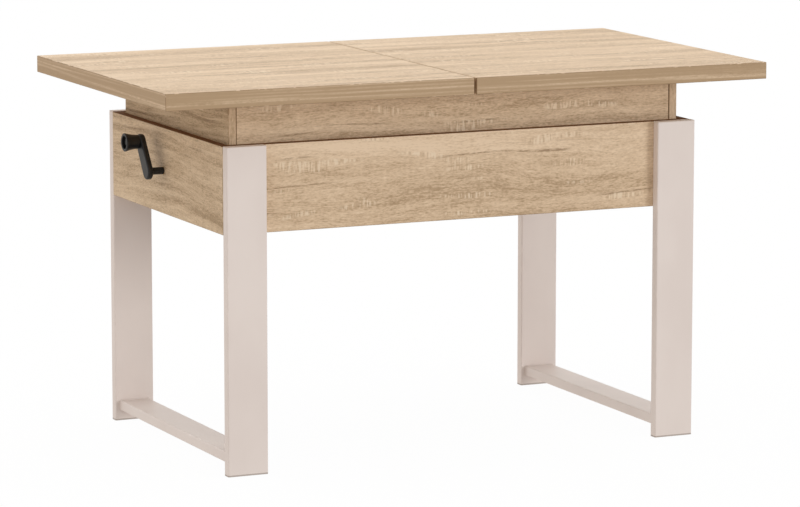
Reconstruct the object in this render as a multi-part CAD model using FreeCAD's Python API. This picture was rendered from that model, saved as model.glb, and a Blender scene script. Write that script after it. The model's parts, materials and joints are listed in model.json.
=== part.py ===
import FreeCAD, Part
import math
import os

# Extending coffee table with a crank-driven scissor lift.
# Millimetres, floor at zero, length along X, front towards -Y, crank on the -X end.

# Table top, two halves that meet at the middle
top_length = 1240.0
top_depth = 688.0
top_thickness = 32.0
end_overhang = 134.0
side_overhang = 59.0
slide_out = 200.0
seam_gap = 4.0
top_edge_round = 1.2
dowel_diameter = 8.0
dowel_seat = 20.0
dowel_reach = 12.0
dowel_end_gap = 2.0
dowel_clearance = 0.3
dowel_spacing = 240.0

# Boards of both boxes and of the leaf
board = 16.0
board_edge_ease = 0.8

# Leg frames of flat tube
leg_width = 80.0
leg_depth = 20.0
leg_height = 616.0
tube_wall = 2.0
tube_corner = 2.6
stretcher_width = 60.0
stretcher_height = 20.0
stretcher_rise = 20.0
foot_cap_flange = 3.0
top_cap_flange = 2.0
cap_plug_length = 14.0
cap_plug_clearance = 0.2

# Bolts that hold each leg to the apron behind it
bolt_diameter = 6.0
bolt_head_diameter = 12.0
bolt_head_depth = 3.4
bolt_inset = 34.0
bolt_tail = 7.0

# Lower box
lower_height = 165.0
brace_leg = 60.0
brace_height = 18.0
base_rail_width = 170.0

# Upper box and its guides
box_clearance = 3.5
upper_height = 150.0
upper_exposed = 76.0
apron_recess = 1.0
top_running_gap = 2.0
glide_gap = 0.3
guide_pad_height = 20.0
guide_pad_width = 30.0
guide_pad_drop = 12.0
guide_pad_inset = 70.0
top_glide_length = 60.0
top_glide_width = 10.0
top_glide_inset = 120.0

# Travel of the lift below and above the height that the exposed upper box gives
lift_down = 70.0
lift_up = 34.0

# Crank and spindle
crank_offset = 16.0
crank_standoff = 25.0
crank_arm_thickness = 11.0
crank_arm_length = 64.2
crank_arm_edge_round = 3.2
crank_tilt_degrees = 34.6
crank_hub_radius = 15.5
crank_tip_radius = 14.5
crank_sleeve_diameter = 14.0
crank_sleeve_root = 4.0
crank_sleeve_gap = 0.8
spigot_diameter = 8.0
spigot_blind = 2.0
shaft_diameter = 10.0
thread_diameter = 14.0
shaft_bush_diameter = 16.0
shaft_slot_margin = 6.0
collar_diameter = 22.0
collar_length = 9.0
collar_gap = 0.4
knob_length = 28.5
knob_root_radius = 13.2
knob_middle_radius = 14.3
knob_end_radius = 17.5
knob_rim_length = 3.0
knob_rim_round = 1.4
knob_rim_width = 5.0
knob_recess_depth = 7.0
knob_gap = 0.4
knob_pin_diameter = 6.0
knob_pin_head_diameter = 11.0
knob_pin_head = 2.5

# Scissor lift
arm_length = 420.0
arm_width = 24.0
arm_thickness = 5.0
arm_gap = 3.0
arm_track_gap = 4.0
pivot_from_middle = 200.0
pivot_diameter = 12.0
pivot_overhang = 3.0
boss_track_gap = 2.5
boss_gap = 0.5
pin_head_diameter = 18.0
pin_head = 3.0
running_clearance = 0.05
axle_slot_side = 0.3
axle_slot_play = 1.6
mechanism_half_width = 127.0
track_height = 30.0
track_flange = 22.0
track_wall = 2.5
track_overrun = 35.0
roller_width = 12.0
roller_inset = 3.0
lower_roller_play = 0.3
upper_roller_play = 1.75

# Spindle cradle, nut and carriage
cradle_sheet = 4.0
cradle_half_width = 40.0
cradle_ear_half_width = 24.0
cradle_margin = 20.0
bush_diameter = 16.0
bush_length = 10.0
bush_flange_diameter = 24.0
bush_flange = 2.0
nut_length = 30.0
nut_width = 40.0
nut_rise = 14.0
nut_drop = 16.0
nut_edge_round = 2.0
carriage_sheet = 4.0
carriage_width = 30.0
carriage_floor_gap = 1.5

# Screws of the tracks and of the cradle
screw_diameter = 4.0
screw_head_diameter = 8.0
screw_head = 2.2
screw_length = 12.0
screw_edge = 14.0
screw_pitch = 30.0

# Folded leaf and the rails under it
leaf_side_gap = 3.0
leaf_fold_gap = 0.5
leaf_head_room = 4.0
leaf_rail_width = 70.0
leaf_rail_spacing = 300.0
hinge_length = 50.0
hinge_sheet = 1.5
hinge_reach = 12.0
hinge_knuckle_diameter = 6.0
hinge_pin_diameter = 3.0
hinge_play = 0.2
hinge_spacing = 260.0

# Runners of the two top halves
runner_height = 22.0
runner_flange = 14.0
runner_wall = 2.0
runner_drop = 2.0
runner_end_gap = 5.0
slider_length = 230.0
slider_seam_inset = 10.0
slider_play = 0.3
slider_bar_width = 9.0
slider_bridge_height = 6.0
slider_web_gap = 3.0
slider_sheet = 3.0
slider_foot = 22.0

# One overrun for every cut
overrun = 1.0

# Worked out heights
lower_bottom = leg_height - lower_height
upper_top = leg_height + upper_exposed
upper_bottom = upper_top - upper_height
top_underside = upper_top + top_running_gap
table_height = top_underside + top_thickness
crank_height = lower_bottom + lower_height / 2
base_rail_top = lower_bottom + board
leaf_top = top_underside - leaf_head_room
leaf_fold = leaf_top - board - leaf_fold_gap / 2
leaf_bottom = leaf_top - board - leaf_fold_gap - board
leaf_rail_bottom = leaf_bottom - board
lower_pivot_height = base_rail_top + track_height / 2
upper_pivot_height = leaf_rail_bottom - track_height / 2

# Worked out half lengths and half depths
lower_half_length = top_length / 2 - end_overhang
lower_half_depth = top_depth / 2 - side_overhang
lower_inner_length = lower_half_length - board
lower_inner_depth = lower_half_depth - board
upper_half_length = lower_inner_length - box_clearance
upper_half_depth = lower_inner_depth - box_clearance
upper_inner_length = upper_half_length - board
upper_apron_face = upper_half_depth - apron_recess
upper_inner_depth = upper_apron_face - board
leg_outer = lower_half_depth + leg_depth
leaf_width = seam_gap + slide_out + slide_out - leaf_side_gap - leaf_side_gap

# Worked out scissor geometry
rest_rise = upper_pivot_height - lower_pivot_height
rest_angle = math.asin(rest_rise / arm_length)
carriage_rest = pivot_from_middle - arm_length * math.cos(rest_angle)
carriage_low = pivot_from_middle - arm_length * math.cos(math.asin((rest_rise - lift_down) / arm_length))
carriage_high = pivot_from_middle - arm_length * math.cos(math.asin((rest_rise + lift_up) / arm_length))
scissor_middle = (pivot_from_middle + carriage_rest) / 2
track_web = mechanism_half_width - track_wall
track_lip = mechanism_half_width - track_flange
outer_arm_face = track_lip - arm_track_gap
outer_arm_back = outer_arm_face - arm_thickness
inner_arm_face = outer_arm_back - arm_gap
inner_arm_back = inner_arm_face - arm_thickness
roller_far = track_web - roller_inset
roller_near = roller_far - roller_width
track_half_inside = track_height / 2 - track_wall
boss_radius = track_half_inside - boss_track_gap
cradle_left = carriage_low - nut_length / 2 - cradle_margin
cradle_right = carriage_high + nut_length / 2 + cradle_margin
cradle_middle = (cradle_left + cradle_right) / 2
cradle_floor = base_rail_top + cradle_sheet
carriage_eye_radius = lower_pivot_height - cradle_floor - carriage_floor_gap
crank_face = -lower_half_length - crank_standoff
knob_start = crank_face - crank_arm_thickness - knob_gap
knob_end = knob_start - knob_length
knob_recess_radius = knob_end_radius - knob_rim_width

V = FreeCAD.Vector
X_AXIS = V(1, 0, 0)
Y_AXIS = V(0, 1, 0)
Z_AXIS = V(0, 0, 1)
ENDS = {"left": -1, "right": 1}
SIDES = {"front": -1, "back": 1}


# Helpers

def span(side, near, far, middle=0.0):
    """Low and high limits of a stretch measured from a middle towards one side."""
    return tuple(sorted((middle + side * near, middle + side * far)))


def around(middle, size):
    """Low and high limits of a stretch centred on a middle."""
    return (middle - size / 2, middle + size / 2)


def shrink(limits, amount):
    """The same stretch with both ends drawn in."""
    return (limits[0] + amount, limits[1] - amount)


def block(x, y, z):
    """A square-edged block between three pairs of limits."""
    return Part.makeBox(x[1] - x[0], y[1] - y[0], z[1] - z[0], V(x[0], y[0], z[0]))


def eased_block(x, y, z, ease):
    """A block with all its edges planed off a little."""
    solid = block(x, y, z)
    return solid.makeChamfer(ease, solid.Edges)


def rounded_block(x, y, z, axis, radius):
    """A block whose four edges along one axis are rounded."""
    solid = block(x, y, z)
    edges = [edge for edge in solid.Edges if edge.Curve.Direction.cross(axis).Length < axis.Length / 2]
    return solid.makeFillet(radius, edges)


def rod(diameter, start, end):
    """A round bar between two points."""
    return Part.makeCylinder(diameter / 2, (end - start).Length, start, end - start)


def cross_rod(diameter, x, y, z):
    """A round bar along the depth of the table."""
    return rod(diameter, V(x, y[0], z), V(x, y[1], z))


def long_rod(diameter, x, y, z):
    """A round bar along the length of the table."""
    return rod(diameter, V(x[0], y, z), V(x[1], y, z))


def prism(points, sweep):
    """A flat outline of straight edges drawn out along a vector."""
    return Part.Face(Part.makePolygon(points + points[:1])).extrude(sweep)


def link(start, direction, sideways, length, start_radius, end_radius, sweep):
    """A bar with two round ends and straight flanks that run tangent to them."""
    lean = math.acos((start_radius - end_radius) / length)

    def at(along, radius, angle):
        forward = along + radius * math.cos(angle)
        return start + direction * forward + sideways * (radius * math.sin(angle))

    near_left = at(0, start_radius, lean)
    near_right = at(0, start_radius, -lean)
    far_left = at(length, end_radius, lean)
    far_right = at(length, end_radius, -lean)
    outline = [Part.LineSegment(near_left, far_left).toShape(),
               Part.Arc(far_left, at(length, end_radius, 0), far_right).toShape(),
               Part.LineSegment(far_right, near_right).toShape(),
               Part.Arc(near_right, at(0, start_radius, math.pi), near_left).toShape()]
    return Part.Face(Part.Wire(outline)).extrude(sweep)


def group(solids):
    """Separate like solids kept together."""
    return Part.makeCompound(solids)


def save(name, shape):
    """Write one piece."""
    shape.exportStep("parts/%s.step" % name)


# Leg frames

def leg_limits(end, side):
    """The upright's limits across the length and across the depth."""
    x = span(end, lower_half_length - leg_width, lower_half_length)
    y = span(side, lower_half_depth, leg_outer)
    return x, y


def bolt_places(end):
    """Places of one leg's two bolts, in the middle of where the leg backs on the apron."""
    middle = end * (lower_half_length - leg_width + lower_inner_length) / 2
    return [(middle, z) for z in (lower_bottom + bolt_inset, leg_height - bolt_inset)]


def leg_bolts(end, side):
    """Countersunk bolts from inside the apron into the back wall of one leg."""
    bolts = []
    for x, z in bolt_places(end):
        face = V(x, side * lower_inner_depth, z)
        tip = V(x, side * (lower_half_depth + bolt_tail), z)
        head = Part.makeCone(bolt_head_diameter / 2, bolt_diameter / 2, bolt_head_depth, face, tip - face)
        bolts.append(head.fuse(rod(bolt_diameter, face, tip)).removeSplitter())
    return bolts


def leg(end, side):
    """Flat upright tube, open at both ends for its caps."""
    x, y = leg_limits(end, side)
    z = (foot_cap_flange, leg_height - top_cap_flange)
    bore = block(shrink(x, tube_wall), shrink(y, tube_wall), shrink(z, -overrun))
    return rounded_block(x, y, z, Z_AXIS, tube_corner).cut(bore).cut(group(leg_bolts(end, side)))


def leg_cap(end, side, flange_z, plug_z):
    """Plastic cap with a flange over the tube and a plug inside it."""
    x, y = leg_limits(end, side)
    plug_draw = tube_wall + cap_plug_clearance
    flange = rounded_block(x, y, flange_z, Z_AXIS, tube_corner)
    return flange.fuse(block(shrink(x, plug_draw), shrink(y, plug_draw), plug_z)).removeSplitter()


def foot_cap(end, side):
    """Cap that the table stands on."""
    flange_z = (0, foot_cap_flange)
    return leg_cap(end, side, flange_z, (foot_cap_flange, foot_cap_flange + cap_plug_length))


def top_cap(end, side):
    """Cap level with the top edge of the lower box."""
    flange_z = (leg_height - top_cap_flange, leg_height)
    return leg_cap(end, side, flange_z, (flange_z[0] - cap_plug_length, flange_z[0]))


def stretcher(end):
    """Low flat tube between the front and the back leg of one end."""
    x = around(end * (lower_half_length - leg_width / 2), stretcher_width)
    y = (-lower_half_depth, lower_half_depth)
    z = (stretcher_rise, stretcher_rise + stretcher_height)
    bore = block(shrink(x, tube_wall), shrink(y, -overrun), shrink(z, tube_wall))
    return rounded_block(x, y, z, Y_AXIS, tube_corner).cut(bore)


# Lower box

def lower_apron(side):
    """Long board between the end boards, drilled for the leg bolts."""
    x = (-lower_inner_length, lower_inner_length)
    y = span(side, lower_inner_depth, lower_half_depth)
    bolts = [bolt for end in ENDS.values() for bolt in leg_bolts(end, side)]
    return eased_block(x, y, (lower_bottom, leg_height), board_edge_ease).cut(group(bolts))


def lower_end(end):
    """End board; the left one is bored for the crank's bush."""
    x = span(end, lower_inner_length, lower_half_length)
    y = (-lower_half_depth, lower_half_depth)
    solid = eased_block(x, y, (lower_bottom, leg_height), board_edge_ease)
    if end < 0:
        bore = long_rod(shaft_bush_diameter, shrink(x, -overrun), crank_offset, crank_height)
        solid = solid.cut(bore)
    return solid


def corner_brace(end, side):
    """Three-cornered block glued low down into one inner corner."""
    corner = V(end * lower_inner_length, side * lower_inner_depth, lower_bottom)
    along = corner - V(end * brace_leg, 0, 0)
    across = corner - V(0, side * brace_leg, 0)
    return prism([corner, along, across], V(0, 0, brace_height))


def base_rail(middle, screws):
    """Cross board between the aprons that carries the lift."""
    x = around(middle, base_rail_width)
    y = (-lower_inner_depth, lower_inner_depth)
    return block(x, y, (lower_bottom, base_rail_top)).cut(group(screws))


def guide_pads():
    """Low-friction pads on the inside of the lower box that steady the upper box."""
    thick = box_clearance - glide_gap
    z = (leg_height - guide_pad_drop - guide_pad_height, leg_height - guide_pad_drop)
    pads = []
    for end in ENDS.values():
        for side in SIDES.values():
            along = around(end * (lower_inner_length - guide_pad_inset), guide_pad_width)
            across = around(side * (lower_inner_depth - guide_pad_inset), guide_pad_width)
            pads.append(block(along, span(side, lower_inner_depth - thick, lower_inner_depth), z))
            pads.append(block(span(end, lower_inner_length - thick, lower_inner_length), across, z))
    return group(pads)


def shaft_bush():
    """Plain bush, flush with the left end board, that the crank shaft turns in."""
    x = span(-1, lower_inner_length, lower_half_length)
    bush = long_rod(shaft_bush_diameter, x, crank_offset, crank_height)
    bore_diameter = shaft_diameter + running_clearance + running_clearance
    return bush.cut(long_rod(bore_diameter, shrink(x, -overrun), crank_offset, crank_height))


# Tracks, screws and cradle of the lift

def channel(x, side, z):
    """Rolled channel whose open side faces the middle of the lift."""
    outer = block(x, span(side, track_lip, mechanism_half_width, crank_offset), z)
    hollow_y = span(side, track_lip - overrun, track_web, crank_offset)
    return outer.cut(block(shrink(x, -overrun), hollow_y, shrink(z, track_wall)))


def lower_track_limits():
    """Length of the lower tracks, from beyond the cradle to beyond the fixed pivot."""
    return (cradle_left - track_overrun, pivot_from_middle + track_overrun)


def upper_track_limits():
    """Length of the upper tracks, past both ends of the rollers' path."""
    return (carriage_low - track_overrun, pivot_from_middle + track_overrun)


def screw(x, y, seat, direction):
    """Round-head screw whose head rests on a seat and whose shank points up or down."""
    under_head = V(x, y, seat)
    shank = rod(screw_diameter, under_head, V(x, y, seat + direction * screw_length))
    head = rod(screw_head_diameter, under_head, V(x, y, seat - direction * screw_head))
    return shank.fuse(head).removeSplitter()


def track_screw_line(side):
    """Depth at which the screws of one track stand."""
    return crank_offset + side * (track_lip + track_web) / 2


def lower_track_screws():
    """Two screws through the bottom of each lower track, clear of the rollers' path."""
    lows = lower_track_limits()
    places = (lows[0] + screw_edge, pivot_from_middle - screw_pitch)
    seat = base_rail_top + track_wall
    return [screw(x, track_screw_line(side), seat, -1) for side in SIDES.values() for x in places]


def cradle_screws():
    """Four screws through the cradle's floor."""
    places = shrink((cradle_left, cradle_right), screw_edge)
    offset = cradle_half_width - screw_head_diameter
    lines = [crank_offset + side * offset for side in SIDES.values()]
    return [screw(x, y, cradle_floor, -1) for y in lines for x in places]


def upper_track_screws():
    """One screw up through the top of each upper track into each leaf rail."""
    places = around(0, leaf_rail_spacing)
    seat = leaf_rail_bottom - track_wall
    return [screw(x, track_screw_line(side), seat, 1) for side in SIDES.values() for x in places]


def lower_track(side, screws):
    """Track on the cross boards that the carriage rollers run in."""
    z = (base_rail_top, base_rail_top + track_height)
    track = channel(lower_track_limits(), side, z)
    web = span(side, track_lip, mechanism_half_width + overrun, crank_offset)
    bore = cross_rod(pivot_diameter, pivot_from_middle, web, lower_pivot_height)
    return track.cut(bore).cut(group(screws))


def upper_track(side, screws):
    """Track under the leaf rails, with an upright slot for the upper axle."""
    z = (leaf_rail_bottom - track_height, leaf_rail_bottom)
    track = channel(upper_track_limits(), side, z)
    web = span(side, track_lip, mechanism_half_width + overrun, crank_offset)
    slot_width = pivot_diameter + axle_slot_side + axle_slot_side
    low = V(pivot_from_middle, web[0], upper_pivot_height - axle_slot_play)
    slot = link(low, Z_AXIS, X_AXIS, axle_slot_play + axle_slot_play, slot_width / 2, slot_width / 2,
                V(0, web[1] - web[0], 0))
    return track.cut(slot).cut(group(screws))


def track_axle(height):
    """Axle across a pair of tracks, a little proud of them at each end."""
    reach = mechanism_half_width + pivot_overhang
    return cross_rod(pivot_diameter, pivot_from_middle, around(crank_offset, reach + reach), height)


def cradle_ear(x):
    """Upright ear with a rounded head that holds one spindle bush."""
    y = around(crank_offset, cradle_ear_half_width + cradle_ear_half_width)
    plate = block(x, y, (base_rail_top, crank_height))
    head = long_rod(cradle_ear_half_width + cradle_ear_half_width, x, crank_offset, crank_height)
    return plate.fuse(head)


def spindle_cradle(screws):
    """Bent sheet with a floor and two ears, on the left cross board."""
    x = (cradle_left - cradle_sheet, cradle_right + cradle_sheet)
    y = around(crank_offset, cradle_half_width + cradle_half_width)
    shape = block(x, y, (base_rail_top, cradle_floor))
    for ear_x in ((x[0], cradle_left), (cradle_right, x[1])):
        shape = shape.fuse(cradle_ear(ear_x))
    bore = long_rod(bush_diameter, shrink(x, -overrun), crank_offset, crank_height)
    return shape.removeSplitter().cut(bore).cut(group(screws))


def spindle_bush(face, outward):
    """Flanged bush pressed into a cradle ear, flange on the inner face."""
    sleeve = span(outward, 0, bush_length, face)
    flange = span(-outward, 0, bush_flange, face)
    bush = long_rod(bush_diameter, sleeve, crank_offset, crank_height)
    bush = bush.fuse(long_rod(bush_flange_diameter, flange, crank_offset, crank_height))
    bore_diameter = shaft_diameter + running_clearance + running_clearance
    whole = shrink((min(sleeve[0], flange[0]), max(sleeve[1], flange[1])), -overrun)
    return bush.cut(long_rod(bore_diameter, whole, crank_offset, crank_height)).removeSplitter()


# Crank and spindle

def spindle():
    """Spindle with a crank spigot, a plain shaft, the threaded length and a tail journal."""
    spigot = (crank_face - crank_arm_thickness + spigot_blind, -lower_half_length)
    thread = (cradle_left + bush_flange + collar_gap, cradle_right - bush_flange - collar_gap)
    shaft = (-lower_half_length, thread[0])
    tail = (thread[1], cradle_right + bush_length)
    bar = long_rod(spigot_diameter, spigot, crank_offset, crank_height)
    bar = bar.fuse(long_rod(shaft_diameter, shaft, crank_offset, crank_height))
    bar = bar.fuse(long_rod(thread_diameter, thread, crank_offset, crank_height))
    return bar.fuse(long_rod(shaft_diameter, tail, crank_offset, crank_height)).removeSplitter()


def spindle_collar():
    """Clamp ring outside the left bush that takes the pull of the thread."""
    far = cradle_left - bush_length - collar_gap
    x = (far - collar_length, far)
    ring = long_rod(collar_diameter, x, crank_offset, crank_height)
    return ring.cut(long_rod(shaft_diameter, shrink(x, -overrun), crank_offset, crank_height))


def crank_direction():
    """Direction of the arm from the hub to the knob."""
    tilt = math.radians(crank_tilt_degrees)
    return V(0, math.sin(tilt), math.cos(tilt))


def crank_tip():
    """Point on the knob's axis in the plane of the end board."""
    return V(-lower_half_length, crank_offset, crank_height) + crank_direction() * crank_arm_length


def crank_arm():
    """Moulded arm with a sleeve over the spindle's spigot."""
    along = crank_direction()
    sideways = V(0, along.z, -along.y)
    start = V(crank_face, crank_offset, crank_height)
    thickness = V(-crank_arm_thickness, 0, 0)
    arm = link(start, along, sideways, crank_arm_length, crank_hub_radius, crank_tip_radius, thickness)
    face_edges = [edge for edge in arm.Edges if edge.BoundBox.XLength < overrun]
    arm = arm.makeFillet(crank_arm_edge_round, face_edges)
    sleeve_end = -lower_half_length - crank_sleeve_gap
    sleeve = long_rod(crank_sleeve_diameter, (crank_face, sleeve_end), crank_offset, crank_height)
    root_radius = crank_sleeve_diameter / 2
    root = Part.makeCone(root_radius + crank_sleeve_root / 2, root_radius, crank_sleeve_root, start, X_AXIS)
    spigot = (crank_face - crank_arm_thickness + spigot_blind, sleeve_end + overrun)
    socket = long_rod(spigot_diameter, spigot, crank_offset, crank_height)
    tip = crank_tip()
    pin_hole = (crank_face - crank_arm_thickness - overrun, crank_face + overrun)
    pin = long_rod(knob_pin_diameter, pin_hole, tip.y, tip.z)
    return arm.fuse(sleeve).fuse(root).removeSplitter().cut(socket).cut(pin)


def knob_pin():
    """Headed pin, riveted in the arm, that the knob turns on."""
    tip = crank_tip()
    seat = knob_end + knob_recess_depth - knob_gap
    shank = long_rod(knob_pin_diameter, (seat, crank_face), tip.y, tip.z)
    head = long_rod(knob_pin_head_diameter, (seat - knob_pin_head, seat), tip.y, tip.z)
    return shank.fuse(head).removeSplitter()


def crank_knob():
    """Flared hand knob, slim at the arm and dished at its end."""
    tip = crank_tip()
    bore = knob_pin_diameter / 2 + running_clearance
    flare_end = knob_length - knob_rim_length
    root = V(knob_start, tip.y, tip.z + knob_root_radius)
    middle = V(knob_start - flare_end / 2, tip.y, tip.z + knob_middle_radius)
    rim = V(knob_start - flare_end, tip.y, tip.z + knob_end_radius)
    rim_far = V(knob_end, tip.y, tip.z + knob_end_radius)
    lip = V(knob_end, tip.y, tip.z + knob_recess_radius)
    dish = V(knob_end + knob_recess_depth, tip.y, tip.z + knob_recess_radius)
    dish_middle = V(knob_end + knob_recess_depth, tip.y, tip.z + bore)
    root_middle = V(knob_start, tip.y, tip.z + bore)
    outline = [Part.Arc(root, middle, rim).toShape()]
    corners = [rim, rim_far, lip, dish, dish_middle, root_middle, root]
    outline += [Part.LineSegment(a, b).toShape() for a, b in zip(corners, corners[1:])]
    solid = Part.Face(Part.Wire(outline)).revolve(tip, X_AXIS, 360)
    rims = [edge for edge in solid.Edges if edge.BoundBox.XMax < knob_end + overrun]
    return solid.makeFillet(knob_rim_round, rims)


# Scissor arms and carriage

def arm_ends(rising):
    """Lower end and direction of one arm; the inner arm falls to the right, the outer one to the left."""
    lean = V(math.cos(rest_angle), 0, math.sin(rest_angle))
    if rising:
        return V(carriage_rest, 0, lower_pivot_height), lean
    return V(pivot_from_middle, 0, lower_pivot_height), V(-lean.x, 0, lean.z)


def scissor_arm(side, rising):
    """Flat arm with a welded boss for its axle; the inner arm also has a welded roller pin."""
    back, face = (outer_arm_back, outer_arm_face) if rising else (inner_arm_back, inner_arm_face)
    y = span(side, back, face, crank_offset)
    low, along = arm_ends(rising)
    start = V(low.x, y[0], low.z)
    sideways = V(-along.z, 0, along.x)
    half_width = arm_width / 2
    arm = link(start, along, sideways, arm_length, half_width, half_width, V(0, y[1] - y[0], 0))
    far = low + along * arm_length
    boss_at = far if rising else low
    boss = span(side, face, track_web - boss_gap, crank_offset)
    arm = arm.fuse(cross_rod(boss_radius + boss_radius, boss_at.x, boss, boss_at.z)).removeSplitter()
    turning = pivot_diameter + running_clearance + running_clearance
    middle = low + along * (arm_length / 2)
    bores = [(low, turning), (middle, turning if rising else pivot_diameter)]
    if rising:
        bores.append((far, pivot_diameter))
    through = shrink(span(side, back, track_web, crank_offset), -overrun)
    for point, diameter in bores:
        arm = arm.cut(cross_rod(diameter, point.x, through, point.z))
    return arm if rising else arm.fuse(roller_pin(side)).removeSplitter()


def headed_pin(side):
    """Centre pin with a head on each side of the crossing arms."""
    z = (lower_pivot_height + upper_pivot_height) / 2
    shank = span(side, inner_arm_back, outer_arm_face, crank_offset)
    inner = span(side, inner_arm_back - pin_head, inner_arm_back, crank_offset)
    outer = span(side, outer_arm_face, outer_arm_face + pin_head, crank_offset)
    pin = cross_rod(pivot_diameter, scissor_middle, shank, z)
    pin = pin.fuse(cross_rod(pin_head_diameter, scissor_middle, inner, z))
    return pin.fuse(cross_rod(pin_head_diameter, scissor_middle, outer, z)).removeSplitter()


def roller_pin(side):
    """Pin welded into the raised end of an inner arm for its roller."""
    y = span(side, inner_arm_back, roller_far, crank_offset)
    return cross_rod(pivot_diameter, carriage_rest, y, upper_pivot_height)


def roller(side, height, radius):
    """Nylon roller on its pin inside a track."""
    y = span(side, roller_near, roller_far, crank_offset)
    bore = pivot_diameter + running_clearance + running_clearance
    wheel = cross_rod(radius + radius, carriage_rest, y, height)
    return wheel.cut(cross_rod(bore, carriage_rest, shrink(y, -overrun), height))


def carriage_axle():
    """Axle of the carriage that carries the outer arms' low ends and the rollers."""
    y = around(crank_offset, roller_far + roller_far)
    return cross_rod(pivot_diameter, carriage_rest, y, lower_pivot_height)


def nut_block():
    """Nut of the spindle, bolted between the carriage plates."""
    x = around(carriage_rest, nut_length)
    y = around(crank_offset, nut_width)
    z = (crank_height - nut_drop, crank_height + nut_rise)
    bore = thread_diameter + running_clearance + running_clearance
    body = rounded_block(x, y, z, Y_AXIS, nut_edge_round)
    return body.cut(long_rod(bore, shrink(x, -overrun), crank_offset, crank_height))


def carriage_plate(side):
    """Side plate that hangs from the nut down to the carriage axle."""
    y = span(side, nut_width / 2, nut_width / 2 + carriage_sheet, crank_offset)
    x = around(carriage_rest, carriage_width)
    foot = around(carriage_rest, carriage_eye_radius + carriage_eye_radius)
    shoulder = crank_height - nut_drop
    top = crank_height + nut_rise
    points = [V(foot[0], y[0], lower_pivot_height), V(x[0], y[0], shoulder), V(x[0], y[0], top),
              V(x[1], y[0], top), V(x[1], y[0], shoulder), V(foot[1], y[0], lower_pivot_height)]
    plate = prism(points, V(0, carriage_sheet, 0))
    eye = cross_rod(carriage_eye_radius + carriage_eye_radius, carriage_rest, y, lower_pivot_height)
    bore = cross_rod(pivot_diameter, carriage_rest, shrink(y, -overrun), lower_pivot_height)
    return plate.fuse(eye).removeSplitter().cut(bore)


# Upper box, leaf and runners

def upper_apron(side):
    """Long board set between the upper end boards, a little back from their edges."""
    x = (-upper_inner_length, upper_inner_length)
    y = span(side, upper_inner_depth, upper_apron_face)
    return eased_block(x, y, (upper_bottom, upper_top), board_edge_ease)


def upper_end(end):
    """End board of full depth; the left one is slotted from below for the spindle."""
    x = span(end, upper_inner_length, upper_half_length)
    y = (-upper_half_depth, upper_half_depth)
    solid = eased_block(x, y, (upper_bottom, upper_top), board_edge_ease)
    if end < 0:
        width = shaft_diameter + shaft_slot_margin + shaft_slot_margin
        slot_top = crank_height + lift_down
        cut_x = shrink(x, -overrun)
        slot = block(cut_x, around(crank_offset, width), (upper_bottom - overrun, slot_top))
        solid = solid.cut(slot.fuse(long_rod(width, cut_x, crank_offset, slot_top)))
    return solid


def leaf_rail(end, screws):
    """Cross board between the upper aprons that carries the folded leaf and the upper tracks."""
    x = around(end * leaf_rail_spacing / 2, leaf_rail_width)
    y = (-upper_inner_depth, upper_inner_depth)
    return block(x, y, (leaf_rail_bottom, leaf_bottom)).cut(group(screws))


def leaf_half(bottom):
    """One half of the spare leaf, half the table's depth."""
    x = around(0, leaf_width)
    y = around(0, top_depth / 2)
    return eased_block(x, y, (bottom, bottom + board), board_edge_ease)


def hinge_half(x, knuckle_x, up):
    """Plate and knuckle of one hinge, on the long edge of one leaf half."""
    edge = top_depth / 4
    radius = hinge_knuckle_diameter / 2
    plate_y = (edge, edge + hinge_sheet)
    plate = block(x, plate_y, span(up, radius + hinge_play, hinge_reach, leaf_fold))
    tab = block(knuckle_x, plate_y, span(up, 0, hinge_reach, leaf_fold))
    knuckle = long_rod(hinge_knuckle_diameter, knuckle_x, edge + radius, leaf_fold)
    bore = long_rod(hinge_pin_diameter, shrink(knuckle_x, -overrun), edge + radius, leaf_fold)
    return plate.fuse(tab).fuse(knuckle).removeSplitter().cut(bore)


def leaf_hinges():
    """Two hinges on the fold of the leaf, each of two plates and a pin."""
    solids = []
    for end in ENDS.values():
        middle = end * hinge_spacing / 2
        x = around(middle, hinge_length)
        solids.append(hinge_half(x, (x[0], middle - hinge_play), -1))
        solids.append(hinge_half(x, (middle + hinge_play, x[1]), 1))
        edge = top_depth / 4 + hinge_knuckle_diameter / 2
        solids.append(long_rod(hinge_pin_diameter, x, edge, leaf_fold))
    return group(solids)


def runner_rail(side):
    """Aluminium channel on the inside of an upper apron, open towards the middle."""
    x = (-upper_inner_length + runner_end_gap, upper_inner_length - runner_end_gap)
    top = upper_top - runner_drop
    z = (top - runner_height, top)
    lip = upper_inner_depth - runner_flange
    outer = block(x, span(side, lip, upper_inner_depth), z)
    hollow_y = span(side, lip - overrun, upper_inner_depth - runner_wall)
    return outer.cut(block(shrink(x, -overrun), hollow_y, shrink(z, runner_wall)))


def runner_slider(end, side):
    """Slider under one top half: a bar in the channel, a bridge, a web and a screwed foot."""
    x = span(end, slider_seam_inset, slider_seam_inset + slider_length)
    top = upper_top - runner_drop - runner_wall - slider_play
    bottom = upper_top - runner_drop - runner_height + runner_wall + slider_play
    middle = (top + bottom) / 2
    bar_far = upper_inner_depth - runner_wall - slider_play
    bar_near = bar_far - slider_bar_width
    web_far = upper_inner_depth - runner_flange - slider_web_gap
    web_near = web_far - slider_sheet
    bar = block(x, span(side, bar_near, bar_far), (bottom, top))
    bridge = block(x, span(side, web_near, bar_near), around(middle, slider_bridge_height))
    web = block(x, span(side, web_near, web_far), (middle - slider_bridge_height / 2, top_underside))
    foot_y = span(side, web_near - slider_foot, web_far)
    foot = block(x, foot_y, (top_underside - slider_sheet, top_underside))
    return bar.fuse(bridge).fuse(web).fuse(foot).removeSplitter()


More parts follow.
